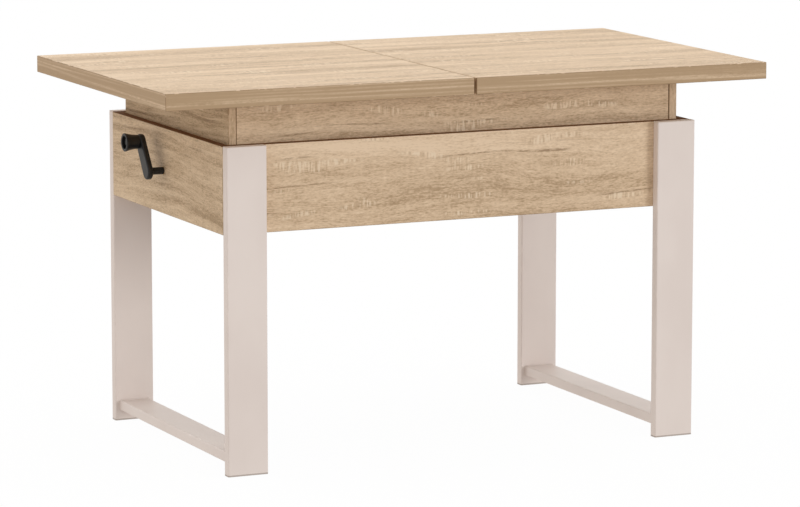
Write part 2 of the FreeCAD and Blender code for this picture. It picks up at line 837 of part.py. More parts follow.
def top_glides():
    """Thin glides on the upper box's top edges that the halves slide on."""
    z = (upper_top, top_underside - glide_gap)
    glides = []
    for end in ENDS.values():
        for side in SIDES.values():
            along = around(end * (upper_half_length - top_glide_inset), top_glide_length)
            across = around(side * (upper_half_depth - top_glide_inset), top_glide_length)
            apron_middle = side * (upper_inner_depth + board / 2)
            end_middle = end * (upper_inner_length + board / 2)
            glides.append(block(along, around(apron_middle, top_glide_width), z))
            glides.append(block(around(end_middle, top_glide_width), across, z))
    return group(glides)


# Table top

def seam_dowels(extra=0.0):
    """Dowels in the left half that enter the right half across the seam."""
    z = table_height - top_thickness / 2
    x = (-seam_gap / 2 - dowel_seat, seam_gap / 2 + dowel_reach)
    places = (-dowel_spacing, 0.0, dowel_spacing)
    diameter = dowel_diameter + extra + extra
    ends = (x[0], x[1] + dowel_end_gap) if extra else x
    return group([long_rod(diameter, ends, y, z) for y in places])


def top_half(end):
    """One half of the table top, its seam edge drilled for the dowels."""
    x = span(end, seam_gap / 2, top_length / 2)
    y = (-top_depth / 2, top_depth / 2)
    solid = block(x, y, (top_underside, table_height))
    solid = solid.makeFillet(top_edge_round, solid.Edges)
    clearance = dowel_clearance if end > 0 else 0.0
    return solid.cut(seam_dowels(clearance))


# Build and write every piece

def build_leg_frames():
    for end_name, end in ENDS.items():
        for side_name, side in SIDES.items():
            save("leg_%s_%s" % (side_name, end_name), leg(end, side))
        save("stretcher_%s" % end_name, stretcher(end))
    corners = [(end, side) for end in ENDS.values() for side in SIDES.values()]
    save("foot_caps", group([foot_cap(end, side) for end, side in corners]))
    save("leg_top_caps", group([top_cap(end, side) for end, side in corners]))
    save("leg_bolts", group([bolt for end, side in corners for bolt in leg_bolts(end, side)]))


def build_lower_box():
    screws = lower_track_screws() + cradle_screws()
    for side_name, side in SIDES.items():
        save("lower_apron_%s" % side_name, lower_apron(side))
        save("lower_track_%s" % side_name, lower_track(side, screws))
    for end_name, end in ENDS.items():
        save("lower_end_%s" % end_name, lower_end(end))
    braces = [corner_brace(end, side) for end in ENDS.values() for side in SIDES.values()]
    save("corner_braces", group(braces))
    save("base_rail_left", base_rail(cradle_middle, screws))
    save("base_rail_right", base_rail(pivot_from_middle, screws))
    save("guide_pads", guide_pads())
    save("lower_axle", track_axle(lower_pivot_height))
    save("spindle_cradle", spindle_cradle(screws))
    save("spindle_bushes", group([spindle_bush(cradle_left, -1), spindle_bush(cradle_right, 1)]))
    save("shaft_bush", shaft_bush())
    save("base_screws", group(screws))


def build_crank():
    save("spindle", spindle())
    save("spindle_collar", spindle_collar())
    save("crank_arm", crank_arm())
    save("knob_pin", knob_pin())
    save("crank_knob", crank_knob())


def build_scissor():
    for side_name, side in SIDES.items():
        save("inner_arm_%s" % side_name, scissor_arm(side, False))
        save("outer_arm_%s" % side_name, scissor_arm(side, True))
    save("centre_pins", group([headed_pin(side) for side in SIDES.values()]))
    upper_radius = track_half_inside - upper_roller_play
    lower_radius = track_half_inside - lower_roller_play
    for name, height, radius in (("upper_rollers", upper_pivot_height, upper_radius),
                                 ("lower_rollers", lower_pivot_height, lower_radius)):
        save(name, group([roller(side, height, radius) for side in SIDES.values()]))
    save("upper_axle", track_axle(upper_pivot_height))
    save("carriage_axle", carriage_axle())
    save("spindle_nut", nut_block())
    save("carriage_plates", group([carriage_plate(side) for side in SIDES.values()]))


def build_upper_box():
    screws = upper_track_screws()
    for side_name, side in SIDES.items():
        save("upper_apron_%s" % side_name, upper_apron(side))
        save("upper_track_%s" % side_name, upper_track(side, screws))
        save("runner_rail_%s" % side_name, runner_rail(side))
    for end_name, end in ENDS.items():
        save("upper_end_%s" % end_name, upper_end(end))
        save("leaf_rail_%s" % end_name, leaf_rail(end, screws))
    save("upper_screws", group(screws))
    save("leaf_half_lower", leaf_half(leaf_bottom))
    save("leaf_half_upper", leaf_half(leaf_top - board))
    save("leaf_hinges", leaf_hinges())
    save("top_glides", top_glides())


def build_top():
    for end_name, end in ENDS.items():
        save("top_half_%s" % end_name, top_half(end))
        save("runner_sliders_%s" % end_name, group([runner_slider(end, side) for side in SIDES.values()]))
    save("seam_dowels", seam_dowels())


os.makedirs("parts", exist_ok=True)
build_leg_frames()
build_lower_box()
build_crank()
build_scissor()
build_upper_box()
build_top()
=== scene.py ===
"""Looks of an extending coffee table with a crank lift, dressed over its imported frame."""

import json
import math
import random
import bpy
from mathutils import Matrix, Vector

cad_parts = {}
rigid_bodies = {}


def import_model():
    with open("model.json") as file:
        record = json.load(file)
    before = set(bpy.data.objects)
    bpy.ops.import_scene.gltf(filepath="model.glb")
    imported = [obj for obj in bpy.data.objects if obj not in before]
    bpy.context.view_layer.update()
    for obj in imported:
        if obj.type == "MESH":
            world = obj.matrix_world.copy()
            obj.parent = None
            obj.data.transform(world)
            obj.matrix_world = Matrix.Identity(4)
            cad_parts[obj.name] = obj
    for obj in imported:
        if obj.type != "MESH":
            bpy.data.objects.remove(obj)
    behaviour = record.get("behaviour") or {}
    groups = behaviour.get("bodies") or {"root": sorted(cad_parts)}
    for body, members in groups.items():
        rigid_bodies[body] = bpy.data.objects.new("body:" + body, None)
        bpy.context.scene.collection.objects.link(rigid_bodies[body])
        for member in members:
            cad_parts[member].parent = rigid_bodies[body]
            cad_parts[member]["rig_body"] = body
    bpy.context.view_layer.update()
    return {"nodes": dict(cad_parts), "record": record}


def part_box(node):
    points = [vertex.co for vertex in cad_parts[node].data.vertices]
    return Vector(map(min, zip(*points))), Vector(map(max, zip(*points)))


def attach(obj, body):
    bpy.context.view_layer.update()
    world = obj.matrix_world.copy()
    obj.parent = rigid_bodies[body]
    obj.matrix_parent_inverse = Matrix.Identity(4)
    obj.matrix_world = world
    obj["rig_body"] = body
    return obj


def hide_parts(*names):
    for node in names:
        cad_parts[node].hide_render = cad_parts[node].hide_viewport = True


bl_info = {
    "name": "Extending coffee table",
    "version": (1, 0, 0),
    "blender": (4, 5, 0),
    "location": "View3D > Sidebar > Table",
    "description": "Dresses the boards, leg frames, crank and scissor lift of an extending coffee table",
    "category": "Object",
}

import bmesh
import bpy
from bpy.props import FloatProperty, FloatVectorProperty, PointerProperty
from mathutils import Matrix, Vector

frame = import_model()
NODES = frame["nodes"]
SLOTS = {part["node"]: part["material_slot"] for part in frame["record"]["subparts"]}

SENSOR_WIDTH = 36.0
WHITE = (1.0, 1.0, 1.0, 1.0)

# Numbers of the two colour inputs of a mix node, and of its colour output
MIX_COLOURS = (6, 7)
MIX_RESULT = 2

# Points this near are one, edges this flat are dissolved, and edges this sharp are creases
MERGE = 1e-6
FLAT = math.radians(0.1)
CREASE = math.radians(34.0)

# The normal of a face that is square to an axis has at least this share along it
SQUARE = 0.985

# A face this many times as large as its neighbour keeps a sharp rim
LARGER = 6.0

# Upper edges face at least this far up
UPWARD = 0.5

# Faces of the top's seam lie this near to its middle, and its open ends face this far to the front or back
SEAM_REACH = 0.004
SIDEWAYS = 0.3

# Metres by which the grain is moved from board to board at most, and on the narrow edges of a board
GRAIN_SPREAD = 40.0
EDGE_SHIFT = 3.7

# Boards and dowels, with the axis that the grain of each runs along
X, Y, Z = range(3)
GRAIN_AXES = {
    "top_half_left": X, "top_half_right": X,
    "upper_apron_front": X, "upper_apron_back": X, "upper_end_left": Y, "upper_end_right": Y,
    "lower_apron_front": X, "lower_apron_back": X, "lower_end_left": Y, "lower_end_right": Y,
    "leaf_half_lower": X, "leaf_half_upper": X,
    "base_rail_left": Y, "base_rail_right": Y, "leaf_rail_left": Y, "leaf_rail_right": Y,
    "seam_dowels": X, "corner_braces": Z,
}

# Painted tubes
STRETCHERS = ("stretcher_left", "stretcher_right")
TUBES = ("leg_front_left", "leg_front_right", "leg_back_left", "leg_back_right") + STRETCHERS

# Metal and moulded pieces, with the radius that the sharp edges of each are eased by
CAPS = {"leg_top_caps": 0.0004, "foot_caps": 0.0011}
CRANK = {"crank_arm": 0.0003, "crank_knob": 0.0003, "knob_pin": 0.0005}
DRIVE = {
    "spindle_collar": 0.0006, "spindle_bushes": 0.0004, "shaft_bush": 0.0003,
    "spindle_nut": 0.0005, "spindle_cradle": 0.0006, "carriage_plates": 0.0005,
}
SCISSOR = {
    "inner_arm_front": 0.0007, "inner_arm_back": 0.0007, "outer_arm_front": 0.0007, "outer_arm_back": 0.0007,
    "lower_axle": 0.0008, "upper_axle": 0.0008, "carriage_axle": 0.0008, "centre_pins": 0.0008,
    "upper_rollers": 0.0009, "lower_rollers": 0.0009,
    "lower_track_front": 0.0005, "lower_track_back": 0.0005,
    "upper_track_front": 0.0005, "upper_track_back": 0.0005,
}
RUNNERS = {
    "runner_rail_front": 0.0003, "runner_rail_back": 0.0003,
    "runner_sliders_left": 0.0003, "runner_sliders_right": 0.0003,
    "top_glides": 0.0005, "guide_pads": 0.0005, "leaf_hinges": 0.0002,
}

# Segments of an eased edge, and of the rounder ones of these nodes
SEGMENTS = 2
ROUND_SEGMENTS = 3
ROUNDER = ("foot_caps", "upper_rollers", "lower_rollers")

# Nodes that have another finish than the one of their material slot
FINISHES = {"foot_caps": "foot_plastic", "knob_pin": "blackened"}

# Spindle: radii, eased ends, play at the bushes, and how the thread runs out
SHAFT_RADIUS = 0.005
SPIGOT_RADIUS = 0.004
SPINDLE_EASE = 0.0006
BUSH_PLAY = 0.0004
RUN_OUT = 0.001
THREAD_INSET = 0.002
UNDERCUT = 1.2
SPINDLE_STEPS = 40
RIDGE_STEPS = 6

# Weld beads: how far in they lie and how thick they are at least, in radii, and how they swell and ripple
BEAD_INSET = 0.4
BEAD_LEAST = 0.7
BEAD_SWELL = 0.5
BEAD_RIPPLE = 0.37
BEAD_STEPS = 8

# Domed screws with a cross recess, each turned a little further than the last
SCREW_HEAD_RADIUS = 0.004
SCREW_HEAD_HEIGHT = 0.0022
SCREW_SHANK_RADIUS = 0.002
SCREW_TURN = 0.7
SCREW_STEPS = 24

# Countersunk bolts with a six-sided socket
BOLT_HEAD_RADIUS = 0.006
BOLT_HEAD_DEPTH = 0.0034
BOLT_SHANK_RADIUS = 0.003
BOLT_KEY_RADIUS = 0.0024
BOLT_STEPS = 30


def srgb(red, green, blue):
    """Linear colour of a screen colour in steps of 255."""
    def linear(step):
        part = step / 255.0
        return part / 12.92 if part <= 0.04045 else ((part + 0.055) / 1.055) ** 2.4
    return (linear(red), linear(green), linear(blue))


def colour(label, words, steps):
    """A colour that a user can change."""
    return FloatVectorProperty(name=label, description=words, subtype="COLOR", size=3, min=0.0, max=1.0,
                               default=srgb(*steps))


def length(label, words, value):
    """A length that a user can change, in metres."""
    return FloatProperty(name=label, description=words, unit="LENGTH", subtype="DISTANCE", min=0.0,
                         default=value, precision=5)


def share(label, words, value, top=1.0):
    """A share or strength that a user can change."""
    return FloatProperty(name=label, description=words, subtype="FACTOR", min=0.0, max=top, default=value)


def angle(label, words, degrees):
    """An angle that a user can change, given in degrees."""
    return FloatProperty(name=label, description=words, subtype="ANGLE", unit="ROTATION",
                         default=math.radians(degrees))


def number(label, words, value):
    """A plain number that a user can change."""
    return FloatProperty(name=label, description=words, default=value)


def location(label, words, place, unit="LENGTH"):
    """A place that a user can change, in metres, or a direction without a unit."""
    return FloatVectorProperty(name=label, description=words, subtype="XYZ", unit=unit, size=3, default=place)


class OakSettings(bpy.types.PropertyGroup):
    """Rough-sawn oak decor of the boards."""
    light: colour("Light wood", "Colour of the palest streaks", (238, 213, 183))
    middle: colour("Middle wood", "Colour of most of the board", (221, 194, 162))
    dark: colour("Dark wood", "Colour of the darkest streaks", (183, 155, 122))
    pore: colour("Pore lines", "Colour of the thin dark lines", (146, 117, 86))
    saw: colour("Saw marks", "Colour of the short marks across the grain", (241, 221, 194))
    plain: colour("Plain board", "Colour of the cross boards that are out of sight", (206, 182, 152))
    beech: colour("Beech", "Colour of dowels and corner braces", (214, 180, 140))
    # Painted shade: the broad faces of the boxes' end boards are multiplied by the colour on the next line,
    # by the two shares further down, so that they look shaded
    deep: colour("Deeper board", "Colour that the end boards of the boxes are dulled by", (219, 216, 202))
    # Painted shade: the raw upper edges of the lower box's boards and the open ends of the top's seam are
    # turned to the dark brown on the next line, as if shaded in the gap
    raw: colour("Raw edge", "Colour of the shaded raw edge that the upper box slides past", (108, 70, 34))
    # Shares of painted shade on the broad faces of the end boards
    upper_end_shade: share("Upper ends", "Share of the deeper tone on the end boards of the upper box", 0.68)
    lower_end_shade: share("Lower ends", "Share of the deeper tone on the end boards of the lower box", 0.36)
    edging: share("Edging", "Share of the darker edging on the narrow edges of a board", 0.25)
    top_edging: share("Top edging", "Share of the darker edging round the table top", 1.0)
    slow_wave: length("Slow wave", "Reach of the slow waves of the grain", 0.048)
    quick_wave: length("Quick wave", "Reach of the quick waves of the grain", 0.005)
    band_width: length("Band width", "Width of the broad pale and dark bands", 0.055)
    streak_width: length("Streak width", "Width of the streaks in a band", 0.012)
    dash_width: length("Dash width", "Width of the fine dashes of the grain", 0.0027)
    saw_pitch: length("Saw mark pitch", "Distance between neighbouring saw marks", 0.0054)
    plain_fleck: length("Plain board fleck", "Width of the flecks of the cross boards", 0.0016)
    beech_fleck: length("Beech fleck", "Width of the flecks of the beech", 0.0009)
    seam: length("Seam", "Gap between an apron of the upper box and its end boards", 0.0008)
    roughness: share("Roughness", "Mean roughness of the decor", 0.56)
    relief: length("Relief", "Depth of the embossed grain", 0.00025)


class MetalSettings(bpy.types.PropertyGroup):
    """Paint of the leg frames and metal of the lift."""
    paint: colour("Leg paint", "Colour of the leg frames", (236, 225, 219))
    paint_shade: colour("Leg paint shade", "Colour of the paint's darker cloudiness", (230, 218, 212))
    cap: colour("Leg caps", "Colour of the caps in the leg tops", (226, 214, 205))
    # The foot caps are darker than the paint as painted shade, standing in for the dark line where the legs
    # meet the floor
    foot: colour("Foot caps", "Colour of the caps that the legs stand on", (188, 177, 170))
    coat: colour("Arm coating", "Colour of the coated steel of the lift", (58, 59, 62))
    zinc: colour("Zinc", "Colour of plated steel", (196, 199, 203))
    aluminium: colour("Aluminium", "Colour of the runner rails", (214, 215, 217))
    bronze: colour("Bronze", "Colour of bushes and nut", (196, 152, 92))
    peel: length("Paint texture", "Depth of the paint's fine texture", 0.00003)
    coat_peel: length("Coating texture", "Depth of the arm coating's fine texture", 0.00004)
    drawn: length("Drawn lines", "Depth of the fine lines in bare metal", 0.00003)
    bead: length("Weld bead", "Radius of the painted weld round a stretcher's end", 0.0016)
    bead_step: length("Weld ripple", "Distance between neighbouring ripples of the weld", 0.0022)
    thread_pitch: length("Thread pitch", "Rise of the spindle's thread in one turn", 0.003)
    thread_depth: length("Thread depth", "Height of the spindle's thread", 0.0009)
    recess_width: length("Recess width", "Width of the cross recess in a screw head", 0.0011)


class PlasticSettings(bpy.types.PropertyGroup):
    """Moulded pieces."""
    black: colour("Crank", "Colour of the crank", (22, 23, 25))
    nylon: colour("Nylon", "Colour of rollers, pads and glides", (228, 225, 214))
    grain: length("Moulded grain", "Depth of the fine grain of moulded pieces", 0.00006)


class StudioSettings(bpy.types.PropertyGroup):
    """Floor, lights and camera."""
    place: location("Camera place", "Where the camera stands", (-3.37699, -7.42335, 1.64586))
    pitch: angle("Camera pitch", "Angle of the view below the horizon", 9.07)
    heading: angle("Camera heading", "Angle of the view from straight at the front", 24.42)
    focal: number("Focal length", "Focal length in picture widths", 5.29024)
    shift: number("Shift", "Sideways shift of the view in picture widths", 0.0047)
    reach: length("Camera reach", "Farthest distance that the camera shows", 200.0)
    sky: share("Sky", "Strength of the even light", 0.67, 4.0)
    sky_colour: colour("Sky colour", "Colour of the even light", (255, 253, 250))
    lean: share("Sky lean", "Share by which the even light is stronger above and behind", 0.40)
    lean_way: location("Sky lean way", "Way in which the even light grows", (-0.05, 1.25, 1.4), "NONE")
    overhead: share("Overhead light", "Strength of the broad light from above", 0.052, 8.0)
    overhead_colour: colour("Overhead colour", "Colour of the broad light from above", (255, 252, 248))
    overhead_breadth: angle("Overhead breadth", "Angle that the light from above spans", 55.0)
    overhead_place: location("Overhead place", "Where the light from above comes from", (0.2, -0.6, 6.0))
    front: share("Front light", "Strength of the low light from the front right", 0.31, 8.0)
    front_colour: colour("Front colour", "Colour of the low light from the front right", (255, 255, 255))
    front_breadth: angle("Front breadth", "Angle that the low light spans", 22.0)
    front_place: location("Front place", "Where the low light comes from", (3.9, -5.2, 1.35))
    aim: location("Aim", "Point that the lights are turned to", (0.0, 0.0, 0.5))
    floor_size: length("Floor size", "Side of the floor", 60.0)
    floor: colour("Floor", "Colour of the light that the floor gives back", (198, 192, 186))
    floor_lean: share("Floor lean", "Share by which the floor's light is stronger at the crank end", 0.5)
    floor_glow: share("Floor glow", "Share of the floor that no shadow darkens", 0.97)


class TableSettings(bpy.types.PropertyGroup):
    """All that can be changed on the table."""
    oak: PointerProperty(type=OakSettings)
    metal: PointerProperty(type=MetalSettings)
    plastic: PointerProperty(type=PlasticSettings)
    studio: PointerProperty(type=StudioSettings)


def settings():
    """The table's settings in this scene."""
    return bpy.context.scene.coffee_table


# Materials

class Graph:
    """Shorthand for building one tree of nodes."""

    def __init__(self, tree):
        self.tree = tree
        tree.nodes.clear()

    def add(self, kind, **values):
        """A new node with these settings."""
        node = self.tree.nodes.new(kind)
        for name, value in values.items():
            setattr(node, name, value)
        return node

    def feed(self, socket, value):
        """Links an output to an input, or sets the input to a value."""
        if isinstance(value, bpy.types.NodeSocket):
            self.tree.links.new(value, socket)
        else:
            socket.default_value = value

    def make(self, kind, inputs, output=0, **values):
        """An output of a new node, whose inputs are given by name or number."""
        node = self.add(kind, **values)
        for key, value in inputs.items():
            self.feed(node.inputs[key], value)
        return node.outputs[output]

    def end(self, kind, value):
        """Adds the last node of the tree, fed with what the tree gives."""
        self.feed(self.add(kind).inputs[0], value)

    def math(self, operation, *values, clamp=False):
        """Result of a sum on values."""
        return self.make("ShaderNodeMath", dict(enumerate(values)), operation=operation, use_clamp=clamp)

    def times(self, first, second):
        """One value times another."""
        return self.math("MULTIPLY", first, second)

    def total(self, *values):
        """All values added up."""
        result = values[0]
        for value in values[1:]:
            result = self.math("ADD", result, value)
        return result

    def mix(self, factor, first, second, blend="MIX"):
        """One colour turned to another by a factor."""
        inputs = {0: factor}
        for key, value in zip(MIX_COLOURS, (first, second)):
            inputs[key] = value if isinstance(value, bpy.types.NodeSocket) else (*value[:3], 1.0)
        return self.make("ShaderNodeMix", inputs, MIX_RESULT,
                         data_type="RGBA", blend_type=blend, clamp_factor=True)


class Finish(Graph):
    """Shorthand for building one material, with the shader's values that are even all over."""

    def __init__(self, name, metallic=0.0, specular=0.5, coat=0.0, coat_roughness=0.3):
        self.material = bpy.data.materials.new(name)
        self.material.use_nodes = True
        super().__init__(self.material.node_tree)
        shader = self.add("ShaderNodeBsdfPrincipled")
        shader.inputs["Metallic"].default_value = metallic
        shader.inputs["Specular IOR Level"].default_value = specular
        shader.inputs["Coat Weight"].default_value = coat
        shader.inputs["Coat Roughness"].default_value = coat_roughness
        self.end("ShaderNodeOutputMaterial", shader.outputs[0])
        self.shader = shader

    def done(self, base, roughness, height, depth, strength):
        """The material, with what varies over the surface fed to its shader."""
        bump = self.make("ShaderNodeBump", {"Strength": strength, "Distance": depth, "Height": height})
        for name, value in (("Base Color", base), ("Roughness", roughness), ("Normal", bump)):
            self.feed(self.shader.inputs[name], value)
        return self.material

    def noise(self, point, repeats, shift, detail, roughness, dimensions):
        """Cloudy value around one half, with so many repeats a metre."""
        spread = self.make("ShaderNodeVectorMath", {0: point, 1: repeats, 2: shift}, operation="MULTIPLY_ADD")
        values = {"Vector": spread, "Scale": 1.0, "Detail": detail, "Roughness": roughness}
        return self.make("ShaderNodeTexNoise", values, noise_dimensions=dimensions)

    def figure(self, grain, along, across, shift=(0.0, 0.0), detail=1.0, roughness=0.5):
        """Cloudy value that follows the grain, with so many repeats a metre along and across it."""
        return self.noise(grain, (along, across, 0.0), (*shift, 0.0), detail, roughness, "2D")

    def clouds(self, x, y, z, detail=2.0, roughness=0.5):
        """Cloudy value through a piece, with so many repeats a metre along each axis."""
        place = self.make("ShaderNodeTexCoord", {}, "Object")
        return self.noise(place, (x, y, z), (0.0, 0.0, 0.0), detail, roughness, "3D")

    def swing(self, value, amount):
        """A cloudy value as a swing about zero."""
        return self.times(self.math("SUBTRACT", value, 0.5), amount)

    def step(self, value, low, high):
        """Zero below a low value, one above a high value and smooth between."""
        limits = dict(enumerate((value, low, high, 0.0, 1.0)))
        return self.make("ShaderNodeMapRange", limits, interpolation_type="SMOOTHSTEP")

    def weigh(self, *pairs):
        """Sum of values, each with its weight."""
        return self.total(*(self.times(value, weight) for value, weight in pairs))

    def tint(self, base, mask, amount, tone):
        """A base turned to a tone where a mask is, by an amount."""
        return self.mix(self.times(mask, amount), base, tone)

    def grain(self):
        """Coordinates along and across the grain, in metres."""
        return self.make("ShaderNodeUVMap", {}, uv_map="Grain")

    def mark(self, name):
        """A value kept on the faces of the piece."""
        return self.make("ShaderNodeAttribute", {}, "Fac", attribute_name=name)

    def grown_with_end_shade(self, value, growth):
        """A value that grows with the share of painted shade on the broad faces of a board."""
        return self.math("MULTIPLY_ADD", self.mark("deep"), growth, value)


def scaled(tone, factor, lift=0.0):
    """A colour made darker or paler."""
    return tuple(min(part * factor + lift, 1.0) for part in tone)


def wavy_grain(graph, oak, grain):
    """Coordinates of the grain with slow and quick waves across it."""
    slow = graph.figure(grain, along=1.9, across=5.0, detail=2.0)
    quick = graph.figure(grain, along=7.0, across=26.0, shift=(3.1, 8.7))
    drift = graph.total(graph.swing(slow, oak.slow_wave), graph.swing(quick, oak.quick_wave))
    sideways = graph.make("ShaderNodeCombineXYZ", {"Y": drift})
    return graph.make("ShaderNodeVectorMath", {0: grain, 1: sideways}, operation="ADD")


def grain_layers(graph, oak, wavy):
    """Cloudy layers of the grain, from broad bands down to fine flecks."""
    return {
        "band": graph.figure(wavy, along=0.9, across=1.0 / oak.band_width, detail=2.0),
        "streak": graph.figure(wavy, along=4.2, across=1.0 / oak.streak_width, shift=(5.3, 1.9),
                               detail=3.0, roughness=0.6),
        "wisp": graph.figure(wavy, along=15.0, across=0.3 / oak.dash_width, shift=(7.9, 0.4),
                             detail=3.0, roughness=0.65),
        "dash": graph.figure(wavy, along=56.0, across=1.0 / oak.dash_width, shift=(2.2, 6.1),
                             detail=2.0, roughness=0.6),
        "fleck": graph.figure(wavy, along=150.0, across=1.25 / oak.dash_width),
    }


def grain_tone(graph, layers):
    """Paleness of the grain, with stronger streaks on the end boards, whose broad faces take painted shade.
    """
    amounts = {"wisp": 0.42, "band": 0.74, "streak": graph.grown_with_end_shade(0.38, 1.3), "dash": 0.54, "fleck": 0.38}
    mean = 0.54
    return graph.total(mean, *(graph.swing(layers[name], amount) for name, amount in amounts.items()))


def dark_lines(graph, oak, wavy, dash):
    """Thin dark lines in patches, broken by the dashes."""
    line = graph.figure(wavy, along=2.3, across=1.35 / oak.streak_width, shift=(9.4, 3.3))
    patch = graph.figure(wavy, along=3.6, across=11.0, shift=(1.7, 4.4))
    line = graph.times(graph.step(line, 0.645, 0.72), graph.step(patch, 0.5, 0.62))
    return graph.times(line, graph.step(dash, 0.34, 0.6))


def open_pores(graph, oak, wavy, tone):
    """Fine short pores in the darker wood."""
    pores = graph.figure(wavy, along=85.0, across=5.0 / oak.dash_width, shift=(6.6, 2.7),
                         detail=2.0, roughness=0.6)
    return graph.times(graph.step(pores, 0.56, 0.66), graph.step(tone, 0.95, 0.35))


def saw_marks(graph, oak, grain):
    """Pale marks across the grain and the dark gaps between them, on faces that aren't edged and don't take
    the end boards' painted shade.
    """
    spot = graph.figure(grain, along=6.0, across=34.0, shift=(13.0, 7.7))
    tooth = graph.figure(grain, along=1.0 / oak.saw_pitch, across=30.0, shift=(0.6, 2.9))
    unsawn = graph.grown_with_end_shade(graph.mark("band"), 2.3)
    spot = graph.times(graph.step(spot, 0.62, 0.71), graph.math("SUBTRACT", 1.0, unsawn, clamp=True))
    return graph.times(spot, graph.step(tooth, 0.5, 0.64)), graph.times(spot, graph.step(tooth, 0.46, 0.34))


def edged(graph, oak, grain, base):
    """The wood with its edging, the painted shade on the broad faces of the end boards and on the raw upper
    edges and seam ends, and eased edges, and where these are rubbed.
    """
    strip = graph.figure(grain, along=1.6, across=1.9 / oak.streak_width, shift=(4.1, 0.9), detail=2.0)
    strip = graph.math("ADD", 0.9, graph.swing(strip, 2.8), clamp=True)
    base = graph.tint(base, graph.mark("band"), strip, oak.dark)
    # Painted shade: the broad faces of the end boards are multiplied by a darker colour so that they look
    # shaded
    base = graph.mix(graph.mark("deep"), base, oak.deep, blend="MULTIPLY")
    # Painted shade: raw upper edges and the seam's open ends are turned to a dark brown
    base = graph.tint(base, graph.mark("raw"), 0.95, oak.raw)
    eased = graph.math("SUBTRACT", graph.mark("edge"), graph.mark("raw"), clamp=True)
    base = graph.tint(base, eased, 0.7, oak.pore)
    rubbed = graph.times(eased, graph.step(graph.clouds(70.0, 40.0, 40.0), 0.57, 0.64))
    return graph.tint(base, rubbed, 0.6, oak.light), rubbed


def oak_decor():
    """Pale rough-sawn oak: bands, streaks, dashes, thin dark lines and patches of saw marks."""
    oak = settings().oak
    graph = Finish("oak_decor", specular=0.32)
    grain = graph.grain()
    wavy = wavy_grain(graph, oak, grain)
    layers = grain_layers(graph, oak, wavy)
    tone = grain_tone(graph, layers)
    line = dark_lines(graph, oak, wavy, layers["dash"])
    pores = open_pores(graph, oak, wavy, tone)
    sawn, gap = saw_marks(graph, oak, grain)
    base = graph.mix(graph.step(tone, 0.18, 0.55), oak.dark, oak.middle)
    base = graph.mix(graph.step(tone, 0.48, 0.86), base, oak.light)
    base = graph.tint(base, line, 0.78, oak.pore)
    base = graph.tint(base, pores, graph.grown_with_end_shade(0.4, 0.7), oak.pore)
    base = graph.tint(base, sawn, 0.66, oak.saw)
    base = graph.tint(base, gap, 0.45, oak.dark)
    base, rubbed = edged(graph, oak, grain, base)
    rough = graph.total(oak.roughness, graph.swing(layers["dash"], 0.16), graph.swing(layers["streak"], 0.1),
                        graph.weigh((rubbed, -0.1), (graph.mark("raw"), 0.4)))
    height = graph.weigh((layers["dash"], 0.55), (layers["fleck"], 0.25), (sawn, 0.5),
                         (line, -0.8), (pores, -0.5))
    return graph.done(base, rough, height, oak.relief, strength=0.8)


def plain_wood(name, tone, fleck_width):
    """Even wood with short flecks along its grain."""
    oak = settings().oak
    graph = Finish(name, specular=0.3)
    grain = graph.grain()
    cloud = graph.figure(grain, along=1.4, across=19.0, detail=3.0, roughness=0.6)
    fleck = graph.figure(grain, along=0.16 / fleck_width, across=1.0 / fleck_width, detail=2.0)
    base = graph.mix(graph.step(cloud, 0.3, 0.72), scaled(tone, 0.80), tone)
    base = graph.tint(base, graph.step(fleck, 0.58, 0.72), 0.4, oak.pore)
    rough = graph.total(0.66, graph.swing(fleck, 0.2))
    return graph.done(base, rough, fleck, oak.relief, strength=0.6)


def leg_paint(name, tone, shade_tone, roughness):
    """Satin powder coat with a faint cloudiness, a fine texture and rubbed corners."""
    metal = settings().metal
    graph = Finish(name, specular=0.42, coat=0.06, coat_roughness=0.35)
    cloud = graph.clouds(7.0, 7.0, 4.0, detail=3.0)
    peel = graph.clouds(820.0, 820.0, 820.0)
    rub = graph.clouds(42.0, 42.0, 30.0)
    base = graph.mix(graph.step(cloud, 0.3, 0.7), shade_tone, tone)
    worn = graph.times(graph.mark("edge"), graph.step(rub, 0.45, 0.7))
    base = graph.tint(base, worn, 0.5, scaled(tone, 1.12))
    rough = graph.total(roughness, graph.swing(peel, 0.12), graph.swing(cloud, 0.08))
    return graph.done(base, rough, peel, metal.peel, strength=0.5)


def moulded(name, tone, roughness):
    """Moulded plastic with a fine grain, slightly polished on its edges, which are made paler as a painted
    highlight.
    """
    plastic = settings().plastic
    graph = Finish(name, specular=0.45)
    fine = graph.clouds(2600.0, 2600.0, 2600.0, detail=1.0)
    cloud = graph.clouds(60.0, 60.0, 60.0)
    paler = scaled(tone, 1.5, 0.004)
    base = graph.tint(tone, graph.step(cloud, 0.35, 0.75), 0.6, paler)
    # Painted highlight: the eased edges are made paler, as if catching the light
    base = graph.tint(base, graph.mark("edge"), 0.5, paler)
    rough = graph.total(roughness, graph.swing(fine, 0.18), graph.times(graph.mark("edge"), -0.08))
    return graph.done(base, rough, fine, plastic.grain, strength=0.5)


def bare_metal(name, tone, roughness, lines, patch=0.25):
    """Metal with fine drawn lines, so many a metre along each axis, and a patchy sheen."""
    metal = settings().metal
    graph = Finish(name, metallic=1.0)
    drawn = graph.clouds(*lines)
    cloud = graph.clouds(90.0, 90.0, 90.0, detail=3.0, roughness=0.6)
    base = graph.mix(graph.step(cloud, 0.3, 0.7), scaled(tone, 1.0 - patch), tone)
    # Painted highlight: the eased edges are made paler, as if catching the light
    base = graph.tint(base, graph.mark("edge"), 0.5, scaled(tone, 1.15))
    rough = graph.total(roughness, graph.swing(drawn, 0.22), graph.swing(cloud, 0.16))
    return graph.done(base, rough, drawn, metal.drawn, strength=0.6)


